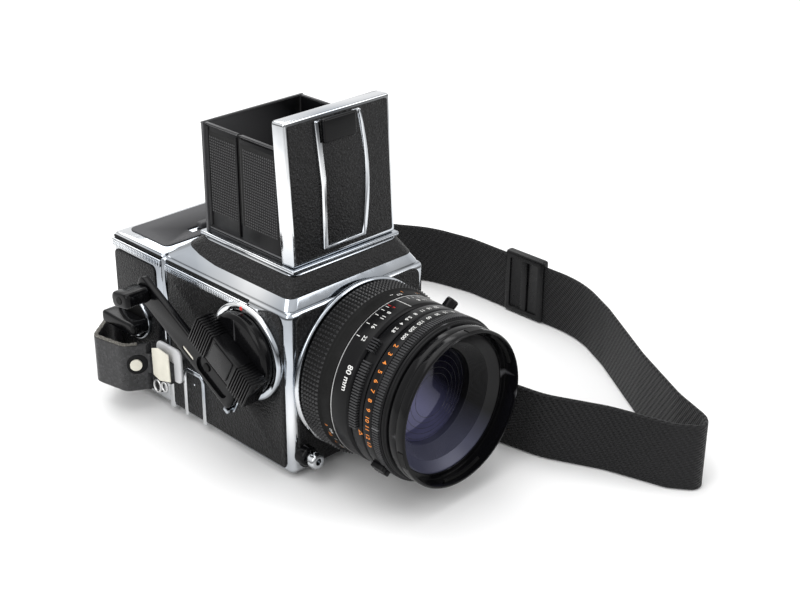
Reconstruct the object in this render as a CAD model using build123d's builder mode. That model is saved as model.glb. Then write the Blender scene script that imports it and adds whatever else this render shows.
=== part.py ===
from build123d import *
import math
import os

os.makedirs("parts", exist_ok=True)

# Waist-level medium format camera. Millimetres, +Z up, lens towards -Y, winding crank on -X.
# The origin is the mouth of the tripod socket, on the plane that the camera stands on.

# General clearances and sheet gauges
body_gap = 0.3
running_gap = 0.06
skin = 0.6
overrun = 5.0

# Body shell
body_half = 40.0
body_front = -43.2
body_rear = 43.0
body_bottom = 1.5
front_aspect = 1.95
shoulder_z = body_bottom + front_aspect * body_half
body_wall = 5.0
corner_radius = 3.0
throat_inset = 9.0
throat_radius = body_half - throat_inset
lens_height_share = 0.55
lens_z = body_bottom + lens_height_share * (shoulder_z - body_bottom)
gate_inset = 12.0
gate_drop = 27.4
gate_half = body_half - gate_inset
gate_low = lens_z - gate_drop
gate_high = gate_low + 2 * gate_half

# Shoulder cowl between the body and the finder hood
cowl_rise = 13.0
cowl_step = 1.0
cowl_draw = 9.5
cowl_top_z = shoulder_z + cowl_rise
cowl_half = body_half - cowl_draw
cowl_foot_half = body_half - cowl_step
cowl_front = -35.6
cowl_rear = 24.2
cowl_rim = 5.0
cowl_open_half = cowl_half - cowl_rim
cowl_open_front = -24.0
cowl_open_rear = 20.5
band_lift = 5.5
band_width = 6.0
band_low = shoulder_z + band_lift
band_high = band_low + band_width

# Leather skins on the body
cover_margin = 3.0
cover_low = 5.0
cover_drop = 7.5
cover_high = shoulder_z - cover_drop

# Base plate with the tripod socket
plate_half = 17.0
plate_front = -24.0
plate_rear = 30.0
socket_radius = 3.2

# Focusing screen
screen_border = 2.9
screen_half = cowl_open_half + screen_border
screen_half_depth = 28.4
screen_thick = 2.4
screen_lift = 3.0
screen_z = shoulder_z + screen_lift
screen_centre_y = -2.0

# Finder hood
hood_base_z = cowl_top_z
hood_base_thick = 1.5
hood_base_top = hood_base_z + hood_base_thick
lid_inset = 0.9
lid_extra_height = 3.5
lid_half = cowl_half - lid_inset
lid_low = hood_base_top + body_gap
lid_high = lid_low + 2 * lid_half + lid_extra_height
lid_front = -34.9
lid_depth = 7.6
lid_wall = 1.4
lid_lean = 3.6
leaf_inset = 2.0
leaf_half = lid_half - leaf_inset
leaf_thick = 1.2
leaf_front = -26.0
leaf_rear = 22.4
leaf_shortfall = 5.6
left_hinge_lift = 2.0
right_hinge_lift = 4.4
leaf_top = hood_base_top + 2 * leaf_half - leaf_shortfall
left_hinge_z = hood_base_top + left_hinge_lift
right_hinge_z = hood_base_top + right_hinge_lift
rear_panel_y = 23.0
rear_panel_inset = 1.0
rear_panel_half = lid_half - rear_panel_inset
hinge_radius = 0.9
centre_panel_half = 14.0
centre_panel_lift = 4.2
centre_panel_drop = 12.0
centre_panel_low = lid_low + centre_panel_lift
centre_panel_high = lid_high - centre_panel_drop
centre_panel_raise = 1.6
tab_half = 9.0
tab_gap = 1.0
tab_drop = 2.5
tab_low = centre_panel_high + tab_gap
tab_high = lid_high - tab_drop
tab_raise = 3.0

# Magnifier stored behind the lid
magnifier_hinge_y = -28.8
magnifier_drop = 9.5
magnifier_inset = 9.6
magnifier_extra = 2.0
magnifier_rim = 2.5
magnifier_hinge_z = lid_high - magnifier_drop
magnifier_half = lid_half - magnifier_inset
magnifier_length = 2 * magnifier_half + magnifier_extra
magnifier_thick = 2.0
magnifier_lens_radius = magnifier_half - magnifier_rim
magnifier_pin_radius = 0.8

# Mirror and rear flaps
mirror_hinge_y = 34.0
mirror_drop = 1.9
mirror_inset = 13.0
mirror_hinge_z = shoulder_z - mirror_drop
mirror_half = body_half - mirror_inset
mirror_length = 66.0
mirror_glass = 1.6
mirror_back = 1.4
mirror_pin_radius = 1.1
flap_y = 36.6
flap_thick = 0.9
flap_inset = 10.5
flap_upper_drop = 5.9
flap_lower_lift = 14.1
flap_meeting_gap = 0.8
flap_half = body_half - flap_inset
flap_upper_z = shoulder_z - flap_upper_drop
flap_lower_z = body_bottom + flap_lower_lift
flap_length = (flap_upper_z - flap_lower_z - flap_meeting_gap) / 2
flap_pin_radius = 0.7
pin_seat = 2.5

# Lens
mount_back = -36.0
core_radius = throat_radius
core_wall = 6.0
core_bore = core_radius - core_wall
mount_wall = 7.0
mount_inner = core_radius - mount_wall
rim_step = 8.0
chrome_rim_radius = core_radius + rim_step
chrome_rim_depth = 2.0
focus_front = -64.3
focus_step = 7.6
barrel_step = 5.6
focus_radius = core_radius + focus_step
barrel_radius = core_radius + barrel_step
depth_web = 2.6
depth_front = -74.8
stop_front = -83.0
speed_front = -93.0
nose_front = -96.0
core_front = -81.7
nose_step = 4.6
nose_radius = core_radius + nose_step
nose_wall = 2.2
filter_front = -105.2
filter_step = 3.9
filter_lip = 0.2
filter_seat = 2.4
filter_radius = core_radius + filter_step
filter_inner = core_radius + filter_lip
filter_clear = core_radius + filter_seat
bezel_back = -98.0
glass_inset = 8.5
glass_radius = core_radius - glass_inset
glass_front = -88.0
glass_thick = 6.0
rear_glass_inset = 17.0
rear_glass_radius = core_radius - rear_glass_inset
rear_glass_back = -40.0
lever_angle = 40.0
lever_width = 6.0
lever_height = 2.6
tab_angle = 128.0
tab_width = 7.0

# Shutter release
button_inset = 6.0
button_x = -body_half + button_inset
button_z = 11.2
housing_radius = 4.5
housing_length = 5.0
button_radius = 2.7
button_length = 9.0
button_cap_radius = 3.6
button_cap_length = 3.2
button_travel = 1.8
cable_bore = 1.5
cable_bore_depth = 4.0

# Winding crank
crank_y = -17.0
crank_lift = 9.6
flange_share = 0.56
crank_z = lens_z + crank_lift
flange_radius = flange_share * body_half
flange_thick = 3.2
flange_rim = 3.4
disc_rise = 8.0
disc_radius = flange_radius - flange_rim
disc_face = body_half + disc_rise
bar_overhang = 1.4
bar_half_length = disc_radius + bar_overhang
bar_height = 8.6
crank_slope = 29.0
shaft_radius = 4.0
shaft_run = 10.0
shaft_inner = body_half - shaft_run
gear_radius = 11.0
gear_thick = 3.0
arm_inset = 1.8
arm_offset = disc_radius - arm_inset
arm_half_width = 6.0
bar_gap = 3.8
bar_half_width = arm_offset - arm_half_width - bar_gap
arm_end = 62.0
arm_thick = 3.6
arm_hinge_inset = 9.0
arm_hinge = arm_hinge_inset - disc_radius
arm_clearance = 1.2
arm_ear = 1.5
arm_pin_radius = 1.0
handle_setback = 6.0
handle_at = arm_end - handle_setback
handle_half_width = 3.7
handle_half_length = 6.3
handle_height = 13.0
handle_tilt = -10.0
handle_pin_radius = 1.6

# Film magazine
magazine_front = 43.3
magazine_rear = 82.4
magazine_inset = 0.4
magazine_drop = 0.5
magazine_half = body_half - magazine_inset
magazine_top = shoulder_z - magazine_drop
magazine_wall = 3.6
insert_margin = 0.4
insert_wall = 1.6
insert_front = 50.0
insert_cap = 2.4
slide_y = 45.6
slide_thick = 0.5
slide_inset = 11.0
slide_half_height = magazine_half - slide_inset
slide_gap = 0.3
slide_grip = 7.0
slide_grip_height = 40.0
key_y = 64.6
key_drop = 2.9
key_z = lens_z - key_drop
key_radius = 11.0
key_thick = 3.0
key_shaft_radius = 2.5
wing_half_length = 12.4
wing_half_width = 4.4
wing_thick = 9.4
spool_radius = 10.5
spool_core = 5.5
spool_flange = 1.2
spool_inset = 9.6
spool_low_lift = 20.5
spool_high_drop = 17.0
spool_half = magazine_half - spool_inset
spool_low_z = body_bottom + spool_low_lift
spool_high_z = magazine_top - spool_high_drop
spool_y = 65.0
latch_half = 9.0
latch_depth = 4.0
latch_height = 3.0
latch_y = 56.0
latch_travel = 5.0

# Strap lugs, clips and strap
lug_y = 32.0
lug_z = 30.0
lug_radius = 3.6
lug_reach = 4.4
lug_neck = 1.6
clip_half = 6.0
clip_height = 17.0
clip_thick = 1.6
tab_thick = 2.2
strap_height = 32.0
strap_thick = 2.2
leather_height = 24.0
leather_low = 12.0
tongue_low = 21.0
tongue_high = 31.0
tab_rear = 47.4
slider_y = -7.0
slider_length = 26.0
slider_thick = 5.0
slider_height = 35.0
slider_reach = 107.9
strap_side = body_half + lug_reach + clip_thick + tab_thick / 2
slider_x = strap_side + slider_reach

# The strap's route on the ground plan: how far out from the side, or how far in from the slider,
# with the place along Y, then the radius of each bend
left_out = [(0.0, 24.0), (0.0, 47.4), (10.1, 53.4), (13.6, 71.0), (-5.1, 85.2), (-17.1, 87.0), (-37.1, 93.0)]
left_bends = [3.0, 5.0, 4.0, 10.0, 40.0]
back_out = [(-61.1, 112.0)]
back_in = [(113.0, 136.0), (67.0, 122.0), (27.0, 92.0), (5.0, 58.0), (0.0, 32.0)]
back_bends = [30.0, 16.0, 60.0, 50.0, 50.0, 30.0]
outer_in = [(0.0, -44.0), (15.0, -72.0), (41.0, -112.0)]
fold_out = [(47.9, -146.0), (39.9, -166.0), (32.9, -171.0), (24.9, -160.0)]
return_out = [(16.9, -132.0), (4.9, -106.0), (0.9, -80.0)]
outer_bends = [60.0, 40.0, 60.0, 60.0, 12.0, 4.0, 8.0, 40.0, 40.0]
right_out = [(0.9, -80.0), (-2.1, -60.5), (1.9, -20.0), (0.0, 24.0)]
right_bends = [40.0, 60.0]


def block(xs, ys, zs, mode=Mode.ADD):
    """A box between two x, two y and two z places."""
    middle = ((xs[0] + xs[1]) / 2, (ys[0] + ys[1]) / 2, (zs[0] + zs[1]) / 2)
    with Locations(middle):
        Box(xs[1] - xs[0], ys[1] - ys[0], zs[1] - zs[0], mode=mode)


def turned(back, front, outer, inner=0.0, mode=Mode.ADD):
    """A disc or ring about the lens axis, from one y place forward to another."""
    with BuildSketch(Plane.XZ.offset(-back)) as ring:
        with Locations((0, lens_z)):
            Circle(outer)
            if inner > 0:
                Circle(inner, mode=Mode.SUBTRACT)
    extrude(ring.sketch, amount=back - front, mode=mode)


def side_disc(x_from, x_to, y, z, outer, inner=0.0, mode=Mode.ADD):
    """A disc or ring about an axis along X."""
    with BuildSketch(Plane.YZ.offset(x_from)) as ring:
        with Locations((y, z)):
            Circle(outer)
            if inner > 0:
                Circle(inner, mode=Mode.SUBTRACT)
    extrude(ring.sketch, amount=x_to - x_from, mode=mode)


def side_bar(x_from, x_to, along, across, half_long, half_wide, mode=Mode.ADD):
    """A bar in line with the crank, at a place along and across its slope."""
    slope = math.radians(crank_slope)
    y = crank_y + along * math.cos(slope) + across * math.sin(slope)
    z = crank_z + along * math.sin(slope) - across * math.cos(slope)
    with BuildSketch(Plane.YZ.offset(x_from)) as bar:
        with Locations(Location((y, z), crank_slope)):
            Rectangle(2 * half_long, 2 * half_wide)
    extrude(bar.sketch, amount=x_to - x_from, mode=mode)


def rod_x(x_from, x_to, y, z, radius, mode=Mode.ADD):
    """A round pin along X."""
    side_disc(x_from, x_to, y, z, radius, 0.0, mode)


def save(builder, name):
    builder.part.label = name
    export_step(builder.part, f"parts/{name}.step")


# Body castings

with BuildPart() as body_shell:
    block((-body_half, body_half), (body_front, body_rear), (body_bottom, shoulder_z))
    fillet(body_shell.edges().filter_by(Axis.Z), radius=corner_radius)
    inner = body_half - body_wall
    block((-inner, inner), (body_front + body_wall, body_rear - body_wall),
          (body_bottom + body_wall, shoulder_z + overrun), Mode.SUBTRACT)
    turned(body_front + body_wall + overrun, body_front - overrun, throat_radius, 0.0, Mode.SUBTRACT)
    block((-gate_half, gate_half), (body_rear - body_wall - overrun, body_rear + overrun),
          (gate_low, gate_high), Mode.SUBTRACT)
    side_disc(-body_half - overrun, -inner + overrun, crank_y, crank_z,
              shaft_radius + running_gap, 0.0, Mode.SUBTRACT)
    with Locations((0, 0, body_bottom)):
        Cylinder(socket_radius, 2 * body_wall + overrun, mode=Mode.SUBTRACT)
    pin_reach = inner + pin_seat
    for pin_y, pin_z, pin_radius in ((mirror_hinge_y, mirror_hinge_z, mirror_pin_radius),
                                     (flap_y, flap_upper_z, flap_pin_radius),
                                     (flap_y, flap_lower_z, flap_pin_radius)):
        side_disc(-pin_reach - body_gap, pin_reach + body_gap, pin_y, pin_z,
                  pin_radius + running_gap, 0.0, Mode.SUBTRACT)
    with BuildSketch(Plane.XZ.offset(-body_front - overrun)) as button_hole:
        with Locations((button_x, button_z)):
            Circle(button_radius + running_gap)
    extrude(button_hole.sketch, amount=2 * overrun, both=True, mode=Mode.SUBTRACT)
save(body_shell, "body_shell")

cowl_foot_front = body_front + (body_half - cowl_foot_half)
cowl_foot_rear = body_rear


def cowl_solid(grow, hollow):
    """The sloped shoulder, grown outwards on its slopes by a skin thickness."""
    foot_y = (cowl_foot_front + cowl_foot_rear) / 2
    top_y = (cowl_front + cowl_rear) / 2
    with BuildSketch(Plane.XY.offset(shoulder_z)) as foot:
        with Locations((0, foot_y)):
            Rectangle(2 * (cowl_foot_half + grow), cowl_foot_rear - cowl_foot_front + 2 * grow)
    with BuildSketch(Plane.XY.offset(cowl_top_z)) as top:
        with Locations((0, top_y)):
            Rectangle(2 * (cowl_half + grow), cowl_rear - cowl_front + 2 * grow)
    loft([foot.sketch.face(), top.sketch.face()])
    if hollow:
        block((-cowl_open_half, cowl_open_half), (cowl_open_front, cowl_open_rear),
              (shoulder_z - overrun, cowl_top_z + overrun), Mode.SUBTRACT)


screen_front = screen_centre_y - screen_half_depth
screen_rear = screen_centre_y + screen_half_depth
with BuildPart() as cowl:
    cowl_solid(0.0, True)
    block((-screen_half - body_gap, screen_half + body_gap),
          (screen_front - body_gap, screen_rear + body_gap),
          (shoulder_z - overrun, screen_z + screen_thick + body_gap), Mode.SUBTRACT)
save(cowl, "cowl")

with BuildPart() as cowl_inner:
    cowl_solid(0.0, False)

with BuildPart() as cowl_cover:
    cowl_solid(skin, False)
    block((-body_half - overrun, body_half + overrun), (body_front - overrun, body_rear + overrun),
          (shoulder_z - overrun, band_low), Mode.SUBTRACT)
    block((-body_half - overrun, body_half + overrun), (body_front - overrun, body_rear + overrun),
          (band_high, cowl_top_z + overrun), Mode.SUBTRACT)
    block((-body_half - overrun, body_half + overrun), (cowl_rear, body_rear + overrun),
          (shoulder_z - overrun, cowl_top_z + overrun), Mode.SUBTRACT)
    add(cowl_inner.part, mode=Mode.SUBTRACT)
save(cowl_cover, "cowl_cover")

with BuildPart() as front_cover:
    block((-body_half + cover_margin, body_half - cover_margin), (body_front - skin, body_front),
          (cover_low, shoulder_z - cover_margin))
    turned(body_front + overrun, body_front - overrun, throat_radius + body_gap, 0.0, Mode.SUBTRACT)
    with BuildSketch(Plane.XZ.offset(-body_front - overrun)) as hole:
        with Locations((button_x, button_z)):
            Circle(housing_radius)
    extrude(hole.sketch, amount=2 * overrun, mode=Mode.SUBTRACT)
save(front_cover, "front_cover")


def side_cover(x_from, x_to, name, holed):
    with BuildPart() as cover:
        block((x_from, x_to), (body_front + cover_margin, body_rear - cover_margin),
              (cover_low, cover_high))
        if holed:
            side_disc(x_from - overrun, x_to + overrun, crank_y, crank_z, flange_radius, 0.0, Mode.SUBTRACT)
            side_disc(x_from - overrun, x_to + overrun, lug_y, lug_z, lug_neck, 0.0, Mode.SUBTRACT)
        else:
            side_disc(x_from - overrun, x_to + overrun, lug_y, lug_z, lug_neck, 0.0, Mode.SUBTRACT)
    save(cover, name)


side_cover(-body_half - skin, -body_half, "crank_side_cover", True)
side_cover(body_half, body_half + skin, "plain_side_cover", False)

with BuildPart() as base_plate:
    block((-plate_half, plate_half), (plate_front, plate_rear), (0, body_bottom))
    with Locations((0, 0, body_bottom / 2)):
        Cylinder(socket_radius, 2 * body_bottom, mode=Mode.SUBTRACT)
save(base_plate, "base_plate")

with BuildPart() as focusing_screen:
    block((-screen_half, screen_half), (screen_front, screen_rear), (screen_z, screen_z + screen_thick))
save(focusing_screen, "focusing_screen")

# Finder hood

with BuildPart() as hood_base:
    block((-cowl_half, cowl_half), (cowl_front, cowl_rear + lid_wall), (hood_base_z, hood_base_top))
    block((-cowl_open_half, cowl_open_half), (cowl_open_front, cowl_open_rear),
          (hood_base_z - overrun, hood_base_top + overrun), Mode.SUBTRACT)
    for side, hinge_z in ((-1, left_hinge_z), (1, right_hinge_z)):
        curb = sorted((side * leaf_half, side * (leaf_half - leaf_thick)))
        block(curb, (leaf_front, leaf_rear), (hood_base_top, hinge_z - hinge_radius - body_gap))
save(hood_base, "hood_base")

lean = math.radians(lid_lean)
lid_plane = Plane(origin=(0, lid_front, lid_low), x_dir=(1, 0, 0),
                  z_dir=(0, -math.cos(lean), math.sin(lean)))


def lid_slab(low, high, half, depth_from, depth_to, mode=Mode.ADD):
    """A slab in the lid's leaning plane, between two depths behind the lid's face."""
    with BuildSketch(lid_plane.offset(-depth_from)) as outline:
        with Locations((0, (low + high) / 2 - lid_low)):
            Rectangle(2 * half, high - low)
    extrude(outline.sketch, amount=depth_from - depth_to, mode=mode)


with BuildPart() as hood_lid:
    lid_slab(lid_low + lid_wall, lid_high, lid_half, 0.0, lid_depth)
    lid_slab(lid_low + 2 * lid_wall, lid_high - lid_wall, lid_half - lid_wall,
             lid_wall, lid_depth + overrun, Mode.SUBTRACT)
    block((-body_half, body_half), (body_front - overrun, 0),
          (hood_base_z - overrun, hood_base_top), Mode.SUBTRACT)
save(hood_lid, "hood_lid")

with BuildPart() as lid_leather:
    lid_slab(lid_low + cover_margin, lid_high - lid_wall, lid_half - cover_margin, -skin, 0.0)
    lid_slab(centre_panel_low, tab_high, centre_panel_half, -overrun, overrun, Mode.SUBTRACT)
save(lid_leather, "lid_leather")

with BuildPart() as lid_centre_panel:
    lid_slab(centre_panel_low, centre_panel_high, centre_panel_half, -centre_panel_raise, 0.0)
save(lid_centre_panel, "lid_centre_panel")

with BuildPart() as lid_tab:
    lid_slab(tab_low, tab_high, tab_half, -tab_raise, 0.0)
save(lid_tab, "lid_tab")

with BuildPart() as rear_panel:
    block((-rear_panel_half, rear_panel_half), (rear_panel_y, rear_panel_y + leaf_thick),
          (hood_base_top, leaf_top))
save(rear_panel, "rear_panel")


def hood_leaf(side, hinge_z, name):
    """A side leaf of the hood, on a hinge pin along its foot."""
    outer = side * leaf_half
    near = outer - side * leaf_thick
    with BuildPart() as leaf:
        block((min(outer, near), max(outer, near)), (leaf_front, leaf_rear), (hinge_z, leaf_top))
        with BuildSketch(Plane.XZ.offset(-leaf_rear)) as knuckle:
            with Locations(((outer + near) / 2, hinge_z)):
                Circle(hinge_radius)
        extrude(knuckle.sketch, amount=leaf_rear - leaf_front)
    save(leaf, name)


hood_leaf(-1, left_hinge_z, "left_leaf")
hood_leaf(1, right_hinge_z, "right_leaf")

with BuildPart() as magnifier_frame:
    block((-magnifier_half, magnifier_half),
          (magnifier_hinge_y, magnifier_hinge_y + magnifier_thick),
          (magnifier_hinge_z - magnifier_length, magnifier_hinge_z))
    pin_half = lid_half - lid_wall - body_gap
    rod_x(-pin_half, pin_half, magnifier_hinge_y + magnifier_thick / 2, magnifier_hinge_z,
          magnifier_pin_radius)
    with BuildSketch(Plane.XZ.offset(-magnifier_hinge_y - magnifier_thick - overrun)) as eye:
        with Locations((0, magnifier_hinge_z - magnifier_length / 2)):
            Circle(magnifier_lens_radius)
    extrude(eye.sketch, amount=2 * overrun + 2 * magnifier_thick, mode=Mode.SUBTRACT)
save(magnifier_frame, "magnifier_frame")

with BuildPart() as magnifier_lens:
    with BuildSketch(Plane.XZ.offset(-magnifier_hinge_y - magnifier_thick)) as pane:
        with Locations((0, magnifier_hinge_z - magnifier_length / 2)):
            Circle(magnifier_lens_radius)
    extrude(pane.sketch, amount=magnifier_thick)
save(magnifier_lens, "magnifier_lens")

# Mirror and rear flaps

mirror_axis = Plane(origin=(0, mirror_hinge_y, mirror_hinge_z), x_dir=(1, 0, 0),
                    z_dir=(0, -math.sin(math.pi / 4), math.cos(math.pi / 4)))


def mirror_slab(low, high, name, pinned):
    with BuildPart() as slab:
        with BuildSketch(mirror_axis.offset(low)) as outline:
            with Locations((0, -mirror_length / 2)):
                Rectangle(2 * mirror_half, mirror_length)
        extrude(outline.sketch, amount=high - low)
        if pinned:
            rod_x(-pin_reach, pin_reach, mirror_hinge_y, mirror_hinge_z, mirror_pin_radius)
    save(slab, name)


mirror_slab(-mirror_back, 0.0, "mirror_frame", True)

with BuildPart() as mirror_glass_plate:
    with BuildSketch(mirror_axis) as outline:
        with Locations((0, -mirror_length / 2 - mirror_pin_radius)):
            Rectangle(2 * mirror_half - mirror_back, mirror_length - 2 * mirror_pin_radius - mirror_back)
    extrude(outline.sketch, amount=mirror_glass)
save(mirror_glass_plate, "mirror")


def rear_flap(hinge_z, direction, name):
    with BuildPart() as flap:
        far = hinge_z + direction * flap_length
        block((-flap_half, flap_half), (flap_y - flap_thick / 2, flap_y + flap_thick / 2),
              (min(hinge_z, far), max(hinge_z, far)))
        rod_x(-pin_reach, pin_reach, flap_y, hinge_z, flap_pin_radius)
    save(flap, name)


rear_flap(flap_upper_z, -1, "upper_flap")
rear_flap(flap_lower_z, 1, "lower_flap")

# Lens

rim_back = body_front - skin
rim_front = rim_back - chrome_rim_depth
with BuildPart() as lens_mount_ring:
    turned(mount_back, rim_back, throat_radius, mount_inner)
    turned(rim_back, rim_front, chrome_rim_radius, mount_inner)
    turned(rear_glass_back, rim_front, mount_inner, rear_glass_radius)
save(lens_mount_ring, "lens_mount_ring")

with BuildPart() as lens_core:
    turned(rim_front, core_front, core_radius, core_bore)
save(lens_core, "lens_core")

sleeve_inner = core_radius + body_gap
with BuildPart() as focus_ring:
    turned(rim_front - body_gap, focus_front, focus_radius, sleeve_inner)
save(focus_ring, "focus_ring")

depth_back = focus_front - body_gap
sleeve_radius = nose_radius - nose_wall
with BuildPart() as depth_scale_ring:
    turned(depth_back, depth_front, barrel_radius, sleeve_radius + body_gap)
    turned(depth_back, depth_back - depth_web, barrel_radius, core_radius)
save(depth_scale_ring, "depth_scale_ring")


def control_ring(back, front, radius, name, lug_turn, lug_wide):
    """A ring that turns on the front barrel, with a finger tab."""
    with BuildPart() as ring:
        turned(back, front, radius, sleeve_radius + running_gap)
        tab_plane = Plane(origin=(0, (back + front) / 2, lens_z), x_dir=(0, 1, 0),
                          z_dir=(math.sin(math.radians(lug_turn)), 0, math.cos(math.radians(lug_turn))))
        with BuildSketch(tab_plane.offset(radius - running_gap)) as tab:
            Rectangle(abs(front - back), lug_wide)
        extrude(tab.sketch, amount=lever_height)
    save(ring, name)


with BuildPart() as front_barrel:
    turned(depth_back - depth_web - body_gap, nose_front, sleeve_radius, core_radius + running_gap)
    turned(speed_front - body_gap, nose_front, nose_radius, core_radius + running_gap)
save(front_barrel, "front_barrel")

control_ring(depth_front - body_gap, stop_front, barrel_radius, "stop_ring", -lever_angle, lever_width)
control_ring(stop_front - body_gap, speed_front, barrel_radius, "speed_ring", -tab_angle, tab_width)

with BuildPart() as filter_ring:
    turned(nose_front - body_gap, filter_front, filter_radius, filter_inner)
    turned(bezel_back, filter_front - overrun, filter_clear, filter_inner - body_gap, Mode.SUBTRACT)
save(filter_ring, "filter_ring")

with BuildPart() as front_bezel:
    turned(nose_front + overrun, bezel_back, filter_inner - body_gap, glass_radius)
    turned(glass_front + glass_thick, nose_front, core_radius + running_gap, glass_radius)
save(front_bezel, "front_bezel")

with BuildPart() as front_glass:
    turned(glass_front + glass_thick, glass_front, glass_radius - running_gap)
save(front_glass, "front_glass")

with BuildPart() as rear_glass:
    turned(rear_glass_back, rear_glass_back - glass_thick, rear_glass_radius)
save(rear_glass, "rear_glass")

# Shutter release

housing_front = body_front - housing_length
with BuildPart() as release_housing:
    with BuildSketch(Plane.XZ.offset(-body_front)) as tube:
        with Locations((button_x, button_z)):
            Circle(housing_radius)
            Circle(button_radius + running_gap, mode=Mode.SUBTRACT)
    extrude(tube.sketch, amount=housing_length)
save(release_housing, "release_housing")

with BuildPart() as release_button:
    cap_back = housing_front - button_travel - body_gap
    with BuildSketch(Plane.XZ.offset(-cap_back)) as cap:
        with Locations((button_x, button_z)):
            Circle(button_cap_radius)
    extrude(cap.sketch, amount=button_cap_length)
    with BuildSketch(Plane.XZ.offset(-cap_back)) as stem:
        with Locations((button_x, button_z)):
            Circle(button_radius)
    extrude(stem.sketch, amount=-button_length)
    with BuildSketch(Plane.XZ.offset(-cap_back + button_cap_length)) as bore:
        with Locations((button_x, button_z)):
            Circle(cable_bore)
    extrude(bore.sketch, amount=-cable_bore_depth, mode=Mode.SUBTRACT)
save(release_button, "release_button")

# Winding crank

flange_face = body_half + flange_thick
with BuildPart() as winder_flange:
    side_disc(-body_half, -flange_face, crank_y, crank_z, flange_radius, disc_radius + body_gap)
    side_disc(-body_half, -body_half - skin, crank_y, crank_z, disc_radius + body_gap,
              shaft_radius + running_gap)
save(winder_flange, "winder_flange")

disc_back = body_half + skin + body_gap
with BuildPart() as winder_disc:
    side_disc(-disc_back, -disc_face, crank_y, crank_z, disc_radius, shaft_radius)
    side_bar(-disc_face, -disc_face - bar_height, 0.0, 0.0, bar_half_length, bar_half_width)
save(winder_disc, "winder_disc")

with BuildPart() as winder_shaft:
    rod_x(-disc_face, -shaft_inner, crank_y, crank_z, shaft_radius)
    side_disc(-body_half + body_wall + body_gap, -body_half + body_wall + body_gap + gear_thick,
              crank_y, crank_z, gear_radius)
save(winder_shaft, "winder_shaft")

arm_face = disc_face + arm_clearance
arm_middle_x = -arm_face - arm_thick / 2
slope = math.radians(crank_slope)
hinge_y = crank_y + arm_hinge * math.cos(slope) + arm_offset * math.sin(slope)
hinge_z = crank_z + arm_hinge * math.sin(slope) - arm_offset * math.cos(slope)
handle_y = crank_y + handle_at * math.cos(slope) + arm_offset * math.sin(slope)
handle_z = crank_z + handle_at * math.sin(slope) - arm_offset * math.cos(slope)
pin_plane = Plane(origin=(arm_middle_x, hinge_y, hinge_z), x_dir=(1, 0, 0),
                  z_dir=(0, math.sin(slope), -math.cos(slope)))


def arm_pin(radius, half_length, mode=Mode.ADD):
    """The round pin that the crank arm folds on, across the arm."""
    with BuildSketch(pin_plane) as pin:
        Circle(radius)
    extrude(pin.sketch, amount=half_length, both=True, mode=mode)


ear_offset = arm_half_width + body_gap + arm_ear / 2
ear_half_length = arm_thick / 2
with BuildPart() as crank_pivot:
    for side in (-1, 1):
        side_bar(-disc_face, -arm_face - arm_thick, arm_hinge, arm_offset + side * ear_offset,
                 ear_half_length, arm_ear / 2)
    arm_pin(arm_pin_radius, ear_offset)
save(crank_pivot, "crank_pivot")

with BuildPart() as crank_arm:
    arm_start = arm_hinge - arm_thick / 2
    arm_middle = (arm_start + arm_end) / 2
    side_bar(-arm_face, -arm_face - arm_thick, arm_middle, arm_offset, (arm_end - arm_start) / 2,
             arm_half_width)
    arm_pin(arm_pin_radius + running_gap, ear_offset, Mode.SUBTRACT)
    with BuildSketch(Plane.YZ.offset(-arm_face - arm_thick)) as spindle:
        with Locations((handle_y, handle_z)):
            Circle(handle_pin_radius)
    extrude(spindle.sketch, amount=-handle_height - body_gap)
save(crank_arm, "crank_arm")

handle_foot = arm_face + arm_thick + body_gap
with BuildPart() as crank_handle:
    with BuildSketch(Plane.YZ.offset(-handle_foot)) as grip:
        with Locations(Location((handle_y, handle_z), handle_tilt)):
            Rectangle(2 * handle_half_length, 2 * handle_half_width)
    extrude(grip.sketch, amount=-handle_height)
    side_disc(-handle_foot + overrun, -handle_foot - handle_height - overrun, handle_y, handle_z,
              handle_pin_radius + running_gap, 0.0, Mode.SUBTRACT)
save(crank_handle, "crank_handle")

# Film magazine

with BuildPart() as magazine_shell:
    block((-magazine_half, magazine_half), (magazine_front, magazine_rear), (body_bottom, magazine_top))
    rear_edges = magazine_shell.edges().filter_by(Axis.X).group_by(Axis.Y)[-1]
    fillet(rear_edges, radius=4 * corner_radius)
    room = magazine_half - magazine_wall
    block((-room, magazine_half + overrun), (insert_front - insert_margin, magazine_rear - magazine_wall),
          (body_bottom + magazine_wall, magazine_top - magazine_wall), Mode.SUBTRACT)
    block((-gate_half, gate_half), (magazine_front - overrun, insert_front + overrun),
          (gate_low, gate_high), Mode.SUBTRACT)
    block((-slide_half_height - slide_gap, magazine_half + overrun),
          (slide_y - slide_gap, slide_y + slide_thick + slide_gap),
          (lens_z - slide_half_height - slide_gap, lens_z + slide_half_height + slide_gap), Mode.SUBTRACT)
    side_disc(-room + overrun, -magazine_half - overrun, key_y, key_z, key_shaft_radius + running_gap,
              0.0, Mode.SUBTRACT)
save(magazine_shell, "magazine_shell")

with BuildPart() as magazine_covers:
    block((-magazine_half - skin, -magazine_half),
          (magazine_front + 2 * cover_margin, magazine_rear - cover_margin),
          (cover_low, cover_high))
    side_disc(-magazine_half + overrun, -magazine_half - overrun, key_y, key_z, key_radius + body_gap,
              0.0, Mode.SUBTRACT)
    cover_edges = magazine_covers.edges().filter_by(Axis.X).group_by(Axis.Y)[-1]
    fillet(cover_edges, radius=3 * corner_radius)
    block((-magazine_half + cover_margin, magazine_half - cover_margin),
          (magazine_rear, magazine_rear + skin),
          (body_bottom + 4 * corner_radius, magazine_top - 4 * corner_radius))
save(magazine_covers, "magazine_covers")

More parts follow.
